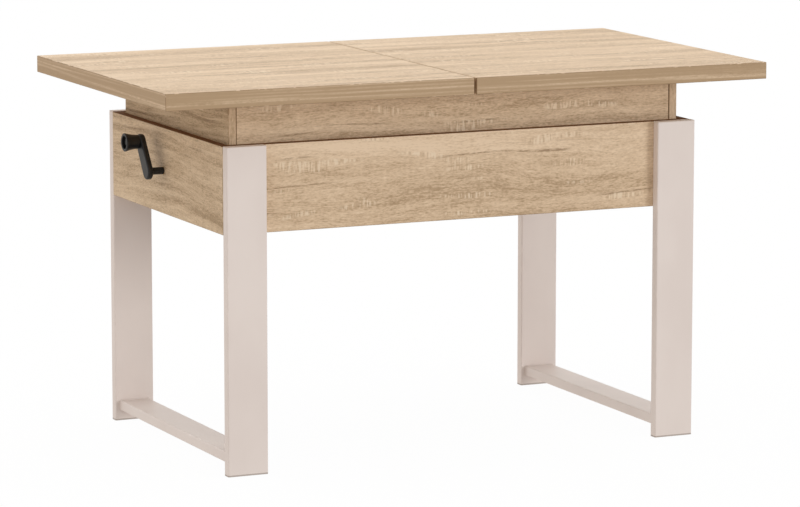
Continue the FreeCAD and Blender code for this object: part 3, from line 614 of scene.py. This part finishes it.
def coated_steel(name, tone):
    """Dark coated steel, rubbed bright along some edges."""
    metal = settings().metal
    graph = Finish(name)
    peel = graph.clouds(600.0, 600.0, 600.0)
    cloud = graph.clouds(30.0, 30.0, 30.0, detail=3.0)
    rub = graph.clouds(120.0, 120.0, 120.0, detail=3.0, roughness=0.65)
    base = graph.mix(graph.step(cloud, 0.3, 0.7), scaled(tone, 0.78), tone)
    worn = graph.times(graph.mark("edge"), graph.step(rub, 0.5, 0.62))
    base = graph.tint(base, worn, 0.6, metal.zinc)
    rough = graph.total(0.42, graph.swing(peel, 0.16), graph.times(worn, -0.1))
    return graph.done(base, rough, peel, metal.coat_peel, strength=0.5)


# Finishes that have been made, by name
MADE = {}


def material_of(slot):
    """A finish by its name, which is mostly that of a material slot, made once."""
    if slot not in MADE:
        table = settings()
        oak, metal, plastic = table.oak, table.metal, table.plastic
        # The maker of each finish, with the material's name, its tones and what else the maker takes
        makers = {
            "oak_board": (oak_decor,),
            "plain_board": (plain_wood, "plain_board", oak.plain, oak.plain_fleck),
            "beech": (plain_wood, "raw_beech", oak.beech, oak.beech_fleck),
            "leg_paint": (leg_paint, "leg_paint", metal.paint, metal.paint_shade, 0.42),
            "cap_plastic": (leg_paint, "cap_plastic", metal.cap, metal.paint_shade, 0.55),
            # The foot caps' darker colour is painted shade along the foot of each leg
            "foot_plastic": (leg_paint, "foot_plastic", metal.foot, metal.foot, 0.6),
            "black_plastic": (moulded, "black_plastic", plastic.black, 0.38),
            "nylon": (moulded, "nylon", plastic.nylon, 0.5),
            "bronze": (bare_metal, "bronze", metal.bronze, 0.36, (900.0, 60.0, 60.0)),
            "aluminium": (bare_metal, "aluminium", metal.aluminium, 0.38, (6.0, 900.0, 900.0), 0.06),
            "steel": (bare_metal, "zinc_steel", metal.zinc, 0.34, (40.0, 40.0, 900.0)),
            "arm_steel": (coated_steel, "coated_steel", metal.coat),
            "blackened": (coated_steel, "blackened_steel", plastic.black),
        }
        maker, *values = makers[slot]
        MADE[slot] = maker(*values)
    return MADE[slot]


# Meshes

def shell_of(node):
    """A merged copy of a node's faces with its flat faces made whole."""
    shell = bmesh.new()
    shell.from_mesh(NODES[node].data)
    bmesh.ops.remove_doubles(shell, verts=shell.verts, dist=MERGE)
    bmesh.ops.dissolve_limit(shell, angle_limit=FLAT, verts=shell.verts, edges=shell.edges)
    shell.normal_update()
    return shell


def box_of(points):
    """Lowest and highest corner of some points."""
    low = Vector([min(point[i] for point in points) for i in range(3)])
    high = Vector([max(point[i] for point in points) for i in range(3)])
    return low, high


def ease_edges(shell, ease, segments):
    """Rounds the sharp edges over and marks the new faces."""
    mark = shell.faces.layers.float.new("edge")
    sharp = [edge for edge in shell.edges if edge.calc_face_angle(0.0) > CREASE]
    done = bmesh.ops.bevel(shell, geom=sharp, offset=ease, offset_type="OFFSET", segments=segments,
                           profile=0.5, affect="EDGES", clamp_overlap=True)
    for face in done["faces"]:
        face[mark] = 1.0
    shell.normal_update()


def mark_slanted(shell):
    """Marks the faces that stand square to no axis, which are the eased edges of a board or tube."""
    mark = shell.faces.layers.float.new("edge")
    for face in shell.faces:
        face[mark] = 0.0 if max(abs(part) for part in face.normal) > SQUARE else 1.0


def shade(shell):
    """Smooth faces that meet at sharp creases, and along the rim of a face much larger than its neighbour."""
    areas = {face: face.calc_area() for face in shell.faces}
    for face in shell.faces:
        face.smooth = True
    for edge in shell.edges:
        sizes = [areas[face] for face in edge.link_faces]
        edge.smooth = edge.calc_face_angle(math.pi) < CREASE and max(sizes) < LARGER * min(sizes)


def lay_grain(shell, axis, seed, depth, edging, shade_upper_edges):
    """Coordinates along and across the grain, and marks for edging, for painted shade on raw upper edges and
    for painted shade on the broad faces.
    """
    low, high = box_of([vertex.co for vertex in shell.verts])
    size = list(high - low)
    thin = size.index(min(size))
    chance = random.Random(seed)
    shift = (chance.uniform(0.0, GRAIN_SPREAD), chance.uniform(0.0, GRAIN_SPREAD))
    uv = shell.loops.layers.uv.new("Grain")
    band = shell.faces.layers.float.new("band")
    raw = shell.faces.layers.float.new("raw")
    deep = shell.faces.layers.float.new("deep")
    for face in shell.faces:
        normal = [abs(part) for part in face.normal]
        facing = normal.index(max(normal))
        broad = facing == thin
        rest = [i for i in range(3) if i != facing]
        along = axis if axis in rest else max(rest, key=lambda i: size[i])
        across = rest[0] if rest[1] == along else rest[1]
        side = 0.0 if broad else EDGE_SHIFT + facing
        face[band] = 0.0 if broad else edging
        # Share of painted shade that darkens the broad faces of the board
        face[deep] = depth if broad else 0.0
        # Painted shade on the raw upper edges of the lower boards, which lie in the gap under the upper box
        face[raw] = 1.0 if shade_upper_edges and face.normal.z > UPWARD else 0.0
        for loop in face.loops:
            loop[uv].uv = (loop.vert.co[along] + shift[0] + side, loop.vert.co[across] + shift[1] + side)


def mark_seam(shell):
    """Leaves the eased edges along the top's seam pale, and paints shade on them at the seam's open ends."""
    edge = shell.faces.layers.float["edge"]
    band = shell.faces.layers.float["band"]
    raw = shell.faces.layers.float["raw"]
    for face in shell.faces:
        if abs(face.calc_center_median().x) < SEAM_REACH:
            face[raw] = 1.0 if face[edge] and abs(face.normal.y) > SIDEWAYS else 0.0
            face[band] -= face[band] * face[edge]
            face[edge] = 0.0


def draw_in(shell, axis, gap):
    """Shortens a board at both ends by a gap."""
    ends = [vertex.co[axis] for vertex in shell.verts]
    middle = (min(ends) + max(ends)) / 2
    for vertex in shell.verts:
        vertex.co[axis] += -gap if vertex.co[axis] > middle else gap


def from_shell(shell, name):
    """A shaded mesh made of a shell, which is used up."""
    shade(shell)
    mesh = bpy.data.meshes.new(name)
    shell.to_mesh(mesh)
    shell.free()
    return mesh


def new_piece(name, mesh, slot, other_finish=None):
    """An object at the origin in a material slot, with the slot's finish or another."""
    piece = bpy.data.objects.new(name, mesh)
    bpy.context.scene.collection.objects.link(piece)
    mesh.materials.clear()
    mesh.materials.append(material_of(other_finish or slot))
    return piece


def stand_for(piece, *nodes):
    """The piece takes the place of these nodes and rides with them."""
    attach(piece, NODES[nodes[0]]["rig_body"])
    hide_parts(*nodes)


def dress(node, shell, ending):
    """A piece made of a shell in the place of a node."""
    stand_for(new_piece(node + ending, from_shell(shell, node), SLOTS[node], FINISHES.get(node)), node)


def dress_board(node, axis, depth, edging, shade_upper_edges, gap):
    """A board with its eased edges marked and its grain laid, drawn in by a gap at the ends of its grain."""
    shell = shell_of(node)
    mark_slanted(shell)
    if gap:
        draw_in(shell, axis, gap)
    lay_grain(shell, axis, node, depth, edging, shade_upper_edges)
    if node.startswith("top_half"):
        mark_seam(shell)
    dress(node, shell, "_board")


def dress_tube(node):
    """A painted tube with smooth corners."""
    shell = shell_of(node)
    mark_slanted(shell)
    dress(node, shell, "_tube")


def dress_eased(eases):
    """Metal or moulded pieces with their sharp edges rounded over."""
    for node, ease in eases.items():
        shell = shell_of(node)
        ease_edges(shell, ease, ROUND_SEGMENTS if node in ROUNDER else SEGMENTS)
        dress(node, shell, "_made")


def islands(node):
    """Boxes of the separate solids of a node."""
    shell = shell_of(node)
    left = set(shell.verts)
    boxes = []
    while left:
        todo = [left.pop()]
        found = []
        while todo:
            vertex = todo.pop()
            found.append(vertex.co.copy())
            for edge in vertex.link_edges:
                other = edge.other_vert(vertex)
                if other in left:
                    left.remove(other)
                    todo.append(other)
        boxes.append(box_of(found))
    shell.free()
    return sorted(boxes, key=lambda box: tuple(box[0]))


def turned(outline, steps):
    """A closed shape turned about X from an outline of places and radii that starts and ends on the axis."""
    shell = bmesh.new()
    rings = []
    for x, radius in outline:
        if radius < MERGE:
            rings.append([shell.verts.new((x, 0.0, 0.0))])
            continue
        ring = []
        for index in range(steps):
            turn = 2.0 * math.pi * index / steps
            ring.append(shell.verts.new((x, radius * math.cos(turn), radius * math.sin(turn))))
        rings.append(ring)
    for first, second in zip(rings, rings[1:]):
        for index in range(steps):
            corners = [first[index % len(first)], first[(index + 1) % len(first)],
                       second[(index + 1) % len(second)], second[index % len(second)]]
            kept = [vertex for i, vertex in enumerate(corners) if vertex not in corners[:i]]
            if len(kept) > 2:
                shell.faces.new(kept)
    bmesh.ops.recalc_face_normals(shell, faces=shell.faces)
    shell.normal_update()
    return shell


def smooth_mesh(mesh):
    """Shades a grown mesh smooth up to its creases."""
    shell = bmesh.new()
    shell.from_mesh(mesh)
    bmesh.ops.remove_doubles(shell, verts=shell.verts, dist=MERGE)
    bmesh.ops.recalc_face_normals(shell, faces=shell.faces)
    shell.normal_update()
    shade(shell)
    shell.to_mesh(mesh)
    shell.free()
    return mesh


def evaluated_mesh(piece):
    """The plain mesh that an object's modifiers give."""
    bpy.context.view_layer.update()
    graph = bpy.context.evaluated_depsgraph_get()
    return bpy.data.meshes.new_from_object(piece.evaluated_get(graph))


# Geometry node trees

def node_tree(name, inputs):
    """A tree with a geometry in and out and named inputs, its graph and the inputs' sockets."""
    tree = bpy.data.node_groups.new(name, "GeometryNodeTree")
    tree.interface.new_socket("Geometry", in_out="INPUT", socket_type="NodeSocketGeometry")
    for label, kind in inputs.items():
        tree.interface.new_socket(label, in_out="INPUT", socket_type="NodeSocket" + kind)
    tree.interface.new_socket("Geometry", in_out="OUTPUT", socket_type="NodeSocketGeometry")
    graph = Graph(tree)
    given = graph.add("NodeGroupInput").outputs
    return tree, graph, given


def close_tree(graph, geometry, given):
    """Realises and paints what a tree has made."""
    real = graph.make("GeometryNodeRealizeInstances", {0: geometry})
    painted = graph.make("GeometryNodeSetMaterial", {"Geometry": real, "Material": given["Finish"]})
    graph.end("NodeGroupOutput", painted)


def grow(name, tree, values, start=None):
    """The plain mesh that a tree gives for these values."""
    maker = bpy.data.objects.new(name + "_maker", start or bpy.data.meshes.new(name + "_start"))
    bpy.context.scene.collection.objects.link(maker)
    modifier = maker.modifiers.new(tree.name, "NODES")
    modifier.node_group = tree
    sockets = {item.name: item.identifier for item in tree.interface.items_tree
               if item.item_type == "SOCKET" and item.in_out == "INPUT"}
    for label, value in values.items():
        modifier[sockets[label]] = value
    result = evaluated_mesh(maker)
    result.name = name
    maker.modifiers.remove(modifier)
    bpy.data.objects.remove(maker)
    if not result.polygons:
        raise RuntimeError("the tree %s made no faces for %s" % (tree.name, name))
    return result


def swept(graph, path, steps, radius, more):
    """A round bar swept along a path, with more inputs for how it is swept."""
    ring = graph.make("GeometryNodeCurvePrimitiveCircle", {"Resolution": steps, "Radius": radius})
    return graph.make("GeometryNodeCurveToMesh", {"Curve": path, "Profile Curve": ring, **more})


def thread_tree():
    """A core with a ridge that winds round it, along Z from zero."""
    tree, graph, given = node_tree("Spindle thread", {
        "Length": "Float", "Pitch": "Float", "Radius": "Float", "Depth": "Float", "Finish": "Material"})
    core_radius = graph.math("SUBTRACT", given["Radius"], given["Depth"])
    spiral = graph.make("GeometryNodeCurveSpiral", {
        "Resolution": SPINDLE_STEPS, "Rotations": graph.math("DIVIDE", given["Length"], given["Pitch"]),
        "Start Radius": core_radius, "End Radius": core_radius, "Height": given["Length"]})
    ridge = swept(graph, spiral, RIDGE_STEPS, given["Depth"], {"Fill Caps": True})
    core = graph.make("GeometryNodeMeshCylinder", {
        "Vertices": SPINDLE_STEPS, "Radius": core_radius, "Depth": given["Length"]})
    lift = graph.make("ShaderNodeCombineXYZ", {"Z": graph.times(given["Length"], 0.5)})
    raised = graph.make("GeometryNodeTransform", {"Geometry": core, "Translation": lift})
    joined = graph.add("GeometryNodeJoinGeometry")
    for part in (ridge, raised):
        graph.feed(joined.inputs[0], part)
    close_tree(graph, joined.outputs[0], given)
    return tree


def fastener_tree():
    """One fastener at each point, turned as the point says."""
    tree, graph, given = node_tree("Placed fasteners", {"Fastener": "Object", "Finish": "Material"})
    pattern = graph.make("GeometryNodeObjectInfo", {"Object": given["Fastener"]}, "Geometry")
    turn = graph.make("GeometryNodeInputNamedAttribute", {"Name": "turn"}, data_type="FLOAT_VECTOR")
    rotation = graph.make("FunctionNodeEulerToRotation", {0: turn})
    placed = graph.make("GeometryNodeInstanceOnPoints", {
        "Points": given["Geometry"], "Instance": pattern, "Rotation": rotation})
    close_tree(graph, placed, given)
    return tree


def bead_tree():
    """A rippled bead that runs round each closed loop of edges."""
    tree, graph, given = node_tree("Weld bead", {"Radius": "Float", "Step": "Float", "Finish": "Material"})
    path = graph.make("GeometryNodeMeshToCurve", {"Mesh": given["Geometry"]})
    even = graph.make("GeometryNodeResampleCurve", {"Curve": path, "Length": given["Step"]}, mode="LENGTH")
    index = graph.make("GeometryNodeInputIndex", {})
    ripple = graph.make("ShaderNodeTexNoise", {"W": index, "Scale": BEAD_RIPPLE}, noise_dimensions="1D")
    thickness = graph.math("ADD", BEAD_LEAST, graph.times(ripple, BEAD_SWELL))
    sized = graph.make("GeometryNodeSetCurveRadius", {"Curve": even, "Radius": thickness})
    own_radius = graph.make("GeometryNodeInputRadius", {})
    bead = swept(graph, sized, BEAD_STEPS, given["Radius"], {"Scale": own_radius})
    close_tree(graph, bead, given)
    return tree


def weld_loops(bead):
    """Closed loops of edges with cut corners, just inside both ends of each stretcher."""
    points, edges = [], []
    inward = bead * BEAD_INSET
    for node in STRETCHERS:
        low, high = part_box(node)
        for y in (low.y + inward, high.y - inward):
            ring = [(low.x + bead, y, low.z), (high.x - bead, y, low.z),
                    (high.x, y, low.z + bead), (high.x, y, high.z - bead),
                    (high.x - bead, y, high.z), (low.x + bead, y, high.z),
                    (low.x, y, high.z - bead), (low.x, y, low.z + bead)]
            start = len(points)
            edges += [(start + i, start + (i + 1) % len(ring)) for i in range(len(ring))]
            points += ring
    loops = bpy.data.meshes.new("weld_loops")
    loops.from_pydata(points, edges, [])
    return loops


# Screws and bolts

def domed_screw(name, shank_length, recess):
    """A screw along Z, its domed head above zero with a cross recess, as a pattern to place."""
    radius, height = SCREW_HEAD_RADIUS, SCREW_HEAD_HEIGHT
    shank, tip = SCREW_SHANK_RADIUS, -shank_length
    rim, shoulder, crown = (height * 0.35, radius), (height * 0.75, radius * 0.82), (height, radius * 0.45)
    outline = [(tip, 0.0), (tip + shank, shank), (0.0, shank), (0.0, radius),
               rim, shoulder, crown, (height, 0.0)]
    arm, half, bottom = radius * 0.55, recess / 2, height * 0.45
    cross = [(half, half), (half, arm), (-half, arm), (-half, half), (-arm, half), (-arm, -half),
             (-half, -half), (-half, -arm), (half, -arm), (half, -half), (arm, -half), (arm, half)]
    cutter = bmesh.new()
    floor = cutter.faces.new([cutter.verts.new((x, y, bottom)) for x, y in cross])
    raised = bmesh.ops.extrude_face_region(cutter, geom=[floor])["geom"]
    bmesh.ops.translate(cutter, vec=(0.0, 0.0, height),
                        verts=[item for item in raised if isinstance(item, bmesh.types.BMVert)])
    bmesh.ops.recalc_face_normals(cutter, faces=cutter.faces)
    return cut_pattern(name, turned(outline, SCREW_STEPS), cutter)


def socket_bolt(name, shank_length):
    """A countersunk bolt along Z, its flat head at zero with a six-sided socket, as a pattern to place."""
    radius, shank, tip = BOLT_HEAD_RADIUS, BOLT_SHANK_RADIUS, -shank_length
    blunt, chamfer = shank * 0.8, shank * 0.4
    rim, flat = radius * 0.06, radius * 0.95
    outline = [(tip, 0.0), (tip, blunt), (tip + chamfer, shank), (-BOLT_HEAD_DEPTH, shank),
               (-rim, radius), (0.0, flat), (0.0, 0.0)]
    socket_depth = BOLT_HEAD_DEPTH * 0.7
    cutter = bmesh.new()
    bmesh.ops.create_cone(cutter, cap_ends=True, segments=6, radius1=BOLT_KEY_RADIUS, radius2=BOLT_KEY_RADIUS,
                          depth=2 * socket_depth)
    return cut_pattern(name, turned(outline, BOLT_STEPS), cutter)


def cut_pattern(name, shell, cutter):
    """A turned shape stood up along Z with a cutter's shape cut out of it."""
    shell.transform(Matrix.Rotation(-math.pi / 2, 4, "Y"))
    body = bpy.data.objects.new(name, from_shell(shell, name))
    tool = bpy.data.objects.new(name + "_cutter", from_shell(cutter, name + "_cutter"))
    for item in (body, tool):
        bpy.context.scene.collection.objects.link(item)
    cut = body.modifiers.new("Recess", "BOOLEAN")
    cut.operation = "DIFFERENCE"
    cut.solver = "EXACT"
    cut.object = tool
    mesh = evaluated_mesh(body)
    bpy.data.objects.remove(tool)
    body.modifiers.clear()
    body.data = smooth_mesh(mesh)
    return body


def place_fasteners(node, pattern, places):
    """Fasteners of one node at points with turns, as one piece."""
    points = bpy.data.meshes.new(node + "_places")
    points.from_pydata([tuple(point) for point, turn in places], [], [])
    turns = points.attributes.new("turn", "FLOAT_VECTOR", "POINT")
    turns.data.foreach_set("vector", [part for point, turn in places for part in turn])
    tree = bpy.data.node_groups.get("Placed fasteners") or fastener_tree()
    mesh = grow(node + "_set", tree, {"Fastener": pattern, "Finish": material_of(SLOTS[node])}, points)
    bpy.data.objects.remove(pattern)
    stand_for(new_piece(node + "_set", mesh, SLOTS[node]), node)


def drive_screws(node, head_up):
    """Domed screws in the places of a node's solids, with their heads up or down."""
    boxes = islands(node)
    places = []
    for index, (low, high) in enumerate(boxes):
        seat = (low + high) / 2
        seat.z = high.z - SCREW_HEAD_HEIGHT if head_up else low.z + SCREW_HEAD_HEIGHT
        places.append((seat, (0.0 if head_up else math.pi, 0.0, index * SCREW_TURN)))
    low, high = boxes[-1]
    shank_length = high.z - low.z - SCREW_HEAD_HEIGHT
    place_fasteners(node, domed_screw(node + "_pattern", shank_length, settings().metal.recess_width), places)


def drive_bolts(node):
    """Countersunk bolts in the places of a node's solids, with their heads inside the box."""
    boxes = islands(node)
    places = []
    for low, high in boxes:
        seat = (low + high) / 2
        in_front = seat.y < 0.0
        seat.y = high.y if in_front else low.y
        places.append((seat, (-math.pi / 2 if in_front else math.pi / 2, 0.0, 0.0)))
    low, high = boxes[-1]
    place_fasteners(node, socket_bolt(node + "_pattern", high.y - low.y), places)


# Operators

class TABLE_OT_boards(bpy.types.Operator):
    """Boards of the top, the two boxes, the leaf and the cross rails, with dowels and corner braces"""
    bl_idname = "coffee_table.boards"
    bl_label = "Boards"

    def execute(self, context):
        oak = settings().oak
        # Shares of painted shade on the broad faces of the end boards
        end_shades = {"upper_end": oak.upper_end_shade, "lower_end": oak.lower_end_shade}
        for node, axis in GRAIN_AXES.items():
            kind = node.rpartition("_")[0]
            dress_board(node, axis, depth=end_shades.get(kind, 0.0),
                        edging=oak.top_edging if kind == "top_half" else oak.edging,
                        shade_upper_edges=node.startswith("lower_"), gap=oak.seam if kind == "upper_apron" else 0.0)
        return {"FINISHED"}


class TABLE_OT_leg_frames(bpy.types.Operator):
    """Painted legs and stretchers with their welds and caps"""
    bl_idname = "coffee_table.leg_frames"
    bl_label = "Leg frames"

    def execute(self, context):
        metal = settings().metal
        for node in TUBES:
            dress_tube(node)
        dress_eased(CAPS)
        values = {"Radius": metal.bead, "Step": metal.bead_step, "Finish": material_of("leg_paint")}
        mesh = grow("stretcher_welds", bead_tree(), values, weld_loops(metal.bead))
        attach(new_piece("stretcher_welds", smooth_mesh(mesh), "leg_paint"), "base")
        return {"FINISHED"}


class TABLE_OT_crank(bpy.types.Operator):
    """Crank arm, its flared knob and the knob's pin"""
    bl_idname = "coffee_table.crank"
    bl_label = "Crank"

    def execute(self, context):
        dress_eased(CRANK)
        return {"FINISHED"}


class TABLE_OT_spindle(bpy.types.Operator):
    """Threaded spindle with its bushes, collar, cradle, nut and carriage plates"""
    bl_idname = "coffee_table.spindle"
    bl_label = "Spindle"

    def execute(self, context):
        low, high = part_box("spindle")
        middle = (low + high) / 2
        bush_left, bush_right = islands("spindle_bushes")
        start = bush_left[1].x + BUSH_PLAY
        end = bush_right[0].x - BUSH_PLAY
        radius = (high.z - low.z) / 2
        bar = self.bar(low.x, start, end, high.x, radius)
        bar.transform(Matrix.Translation((0.0, middle.y, middle.z)))
        thread = self.thread(end - start - 2 * THREAD_INSET, radius)
        onto_bar = Matrix.Translation((start + THREAD_INSET, middle.y, middle.z))
        thread.transform(onto_bar @ Matrix.Rotation(math.pi / 2, 4, "Y"))
        bar.from_mesh(thread)
        stand_for(new_piece("spindle_threaded", from_shell(bar, "spindle_threaded"), "steel"), "spindle")
        dress_eased(DRIVE)
        return {"FINISHED"}

    def bar(self, first, start, end, last, radius):
        """The bar under the thread, from the crank's spigot to the far bush."""
        depth = settings().metal.thread_depth
        core, neck = radius - depth, radius - depth * UNDERCUT
        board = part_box("lower_end_left")[0].x
        spigot, shaft, ease = SPIGOT_RADIUS, SHAFT_RADIUS, SPINDLE_EASE
        return turned([
            (first, 0.0), (first, spigot - ease), (first + ease, spigot), (board, spigot), (board, shaft),
            (start, shaft), (start, neck), (start + RUN_OUT, core),
            (end - RUN_OUT, core), (end, neck), (end, shaft),
            (last - ease, shaft), (last, shaft - ease), (last, 0.0)], SPINDLE_STEPS)

    def thread(self, winding, radius):
        """The mesh of the thread, along Z from zero."""
        metal = settings().metal
        return grow("spindle_thread", thread_tree(), {
            "Length": winding, "Pitch": metal.thread_pitch, "Radius": radius, "Depth": metal.thread_depth,
            "Finish": material_of("steel")})


class TABLE_OT_scissor(bpy.types.Operator):
    """Scissor arms, axles, rollers and tracks"""
    bl_idname = "coffee_table.scissor"
    bl_label = "Scissor lift"

    def execute(self, context):
        dress_eased(SCISSOR)
        return {"FINISHED"}


class TABLE_OT_runners(bpy.types.Operator):
    """Runner rails, sliders, glides, guide pads and leaf hinges"""
    bl_idname = "coffee_table.runners"
    bl_label = "Runners and hinges"

    def execute(self, context):
        dress_eased(RUNNERS)
        return {"FINISHED"}


class TABLE_OT_fasteners(bpy.types.Operator):
    """Screws of the tracks and cradle and bolts of the legs"""
    bl_idname = "coffee_table.fasteners"
    bl_label = "Screws and bolts"

    def execute(self, context):
        drive_screws("base_screws", head_up=True)
        drive_screws("upper_screws", head_up=False)
        drive_bolts("leg_bolts")
        return {"FINISHED"}


class TABLE_OT_stage(bpy.types.Operator):
    """Floor, lights and camera"""
    bl_idname = "coffee_table.stage"
    bl_label = "Stage"

    def execute(self, context):
        scene = context.scene
        studio = settings().studio
        scene.view_settings.view_transform = "Standard"
        self.floor(scene, studio)
        self.sky(scene, studio)
        self.light(scene, studio, "overhead")
        self.light(scene, studio, "front")
        self.camera(scene, studio)
        return {"FINISHED"}

    def floor(self, scene, studio):
        """A floor that is seen from above only and hardly takes a shadow."""
        shell = bmesh.new()
        bmesh.ops.create_grid(shell, x_segments=1, y_segments=1, size=studio.floor_size / 2)
        mesh = bpy.data.meshes.new("floor")
        shell.to_mesh(mesh)
        shell.free()
        floor = bpy.data.objects.new("floor", mesh)
        scene.collection.objects.link(floor)
        material = bpy.data.materials.new("pale_floor")
        material.use_nodes = True
        material.cycles.emission_sampling = "NONE"
        graph = Graph(material.node_tree)
        matt = graph.make("ShaderNodeBsdfDiffuse", {"Color": WHITE})
        glow = graph.make("ShaderNodeEmission", {"Color": WHITE})
        pale = graph.make("ShaderNodeMixShader", {0: studio.floor_glow, 1: matt, 2: glow})
        seen = graph.make("ShaderNodeLightPath", {}, "Is Camera Ray")
        below = graph.make("ShaderNodeNewGeometry", {}, "Backfacing")
        shown = graph.math("SUBTRACT", seen, below, clamp=True)
        clear = graph.make("ShaderNodeBsdfTransparent", {})
        both = graph.make("ShaderNodeMixShader", {0: shown, 1: clear, 2: pale})
        graph.end("ShaderNodeOutputMaterial", both)
        mesh.materials.append(material)

    def sky(self, scene, studio):
        """Even light that leans to one way above, with the floor's light below and plain white behind."""
        world = bpy.data.worlds.new("studio")
        scene.world = world
        world.use_nodes = True
        graph = Graph(world.node_tree)
        seen = graph.make("ShaderNodeLightPath", {}, "Is Camera Ray")
        way = graph.make("ShaderNodeTexCoord", {}, "Generated")
        parts = graph.add("ShaderNodeSeparateXYZ")
        graph.feed(parts.inputs[0], way)
        lean = graph.make("ShaderNodeVectorMath", {0: way, 1: tuple(studio.lean_way)}, "Value",
                          operation="DOT_PRODUCT")
        even = graph.math("MULTIPLY_ADD", lean, studio.sky * studio.lean, studio.sky)
        above = self.glow(graph, studio.sky_colour, even)
        crank_end = graph.math("MULTIPLY_ADD", parts.outputs["X"], -studio.floor_lean, 1.0)
        below = self.glow(graph, studio.floor, crank_end)
        light = graph.mix(graph.math("GREATER_THAN", parts.outputs["Z"], 0.0), below, above)
        shown = graph.make("ShaderNodeBackground", {"Color": graph.mix(seen, light, WHITE)})
        graph.end("ShaderNodeOutputWorld", shown)

    def glow(self, graph, tone, strength):
        """Light of a colour, at a strength that varies."""
        return graph.make("ShaderNodeVectorMath", {0: tuple(tone), "Scale": strength}, operation="SCALE")

    def light(self, scene, studio, name):
        """A broad far light, turned to the table."""
        light = bpy.data.lights.new(name, "SUN")
        light.energy = getattr(studio, name) * math.pi
        light.angle = getattr(studio, name + "_breadth")
        light.color = getattr(studio, name + "_colour")
        lamp = bpy.data.objects.new(name, light)
        scene.collection.objects.link(lamp)
        lamp.location = getattr(studio, name + "_place")
        lamp.rotation_euler = (Vector(studio.aim) - lamp.location).to_track_quat("-Z", "Y").to_euler()

    def camera(self, scene, studio):
        """The camera that the photograph was taken with, as fitted to the table's corners."""
        data = bpy.data.cameras.new("camera")
        data.sensor_fit = "HORIZONTAL"
        data.sensor_width = SENSOR_WIDTH
        data.lens = studio.focal * SENSOR_WIDTH
        data.shift_x = studio.shift
        data.clip_end = studio.reach
        camera = bpy.data.objects.new("camera", data)
        scene.collection.objects.link(camera)
        camera.location = studio.place
        camera.rotation_euler = (math.pi / 2 - studio.pitch, 0.0, -studio.heading)
        scene.camera = camera


class TABLE_PT_panel(bpy.types.Panel):
    """Steps and settings of the table"""
    bl_label = "Extending coffee table"
    bl_idname = "TABLE_PT_panel"
    bl_space_type = "VIEW_3D"
    bl_region_type = "UI"
    bl_category = "Table"

    def draw(self, context):
        for step in STEPS:
            self.layout.operator(step.bl_idname)
        table = context.scene.coffee_table
        for group in (table.oak, table.metal, table.plastic, table.studio):
            box = self.layout.box()
            for name in group.__annotations__:
                box.prop(group, name)


STEPS = (TABLE_OT_boards, TABLE_OT_leg_frames, TABLE_OT_crank, TABLE_OT_spindle, TABLE_OT_scissor,
         TABLE_OT_runners, TABLE_OT_fasteners, TABLE_OT_stage)
GROUPS = (OakSettings, MetalSettings, PlasticSettings, StudioSettings, TableSettings)
CLASSES = GROUPS + STEPS + (TABLE_PT_panel,)


def register():
    for item in CLASSES:
        bpy.utils.register_class(item)
    bpy.types.Scene.coffee_table = PointerProperty(type=TableSettings)


def unregister():
    del bpy.types.Scene.coffee_table
    for item in reversed(CLASSES):
        bpy.utils.unregister_class(item)


def main():
    register()
    bpy.ops.coffee_table.boards()
    bpy.ops.coffee_table.leg_frames()
    bpy.ops.coffee_table.crank()
    bpy.ops.coffee_table.spindle()
    bpy.ops.coffee_table.scissor()
    bpy.ops.coffee_table.runners()
    bpy.ops.coffee_table.fasteners()
    bpy.ops.coffee_table.stage()


if __name__ == "__main__":
    main()
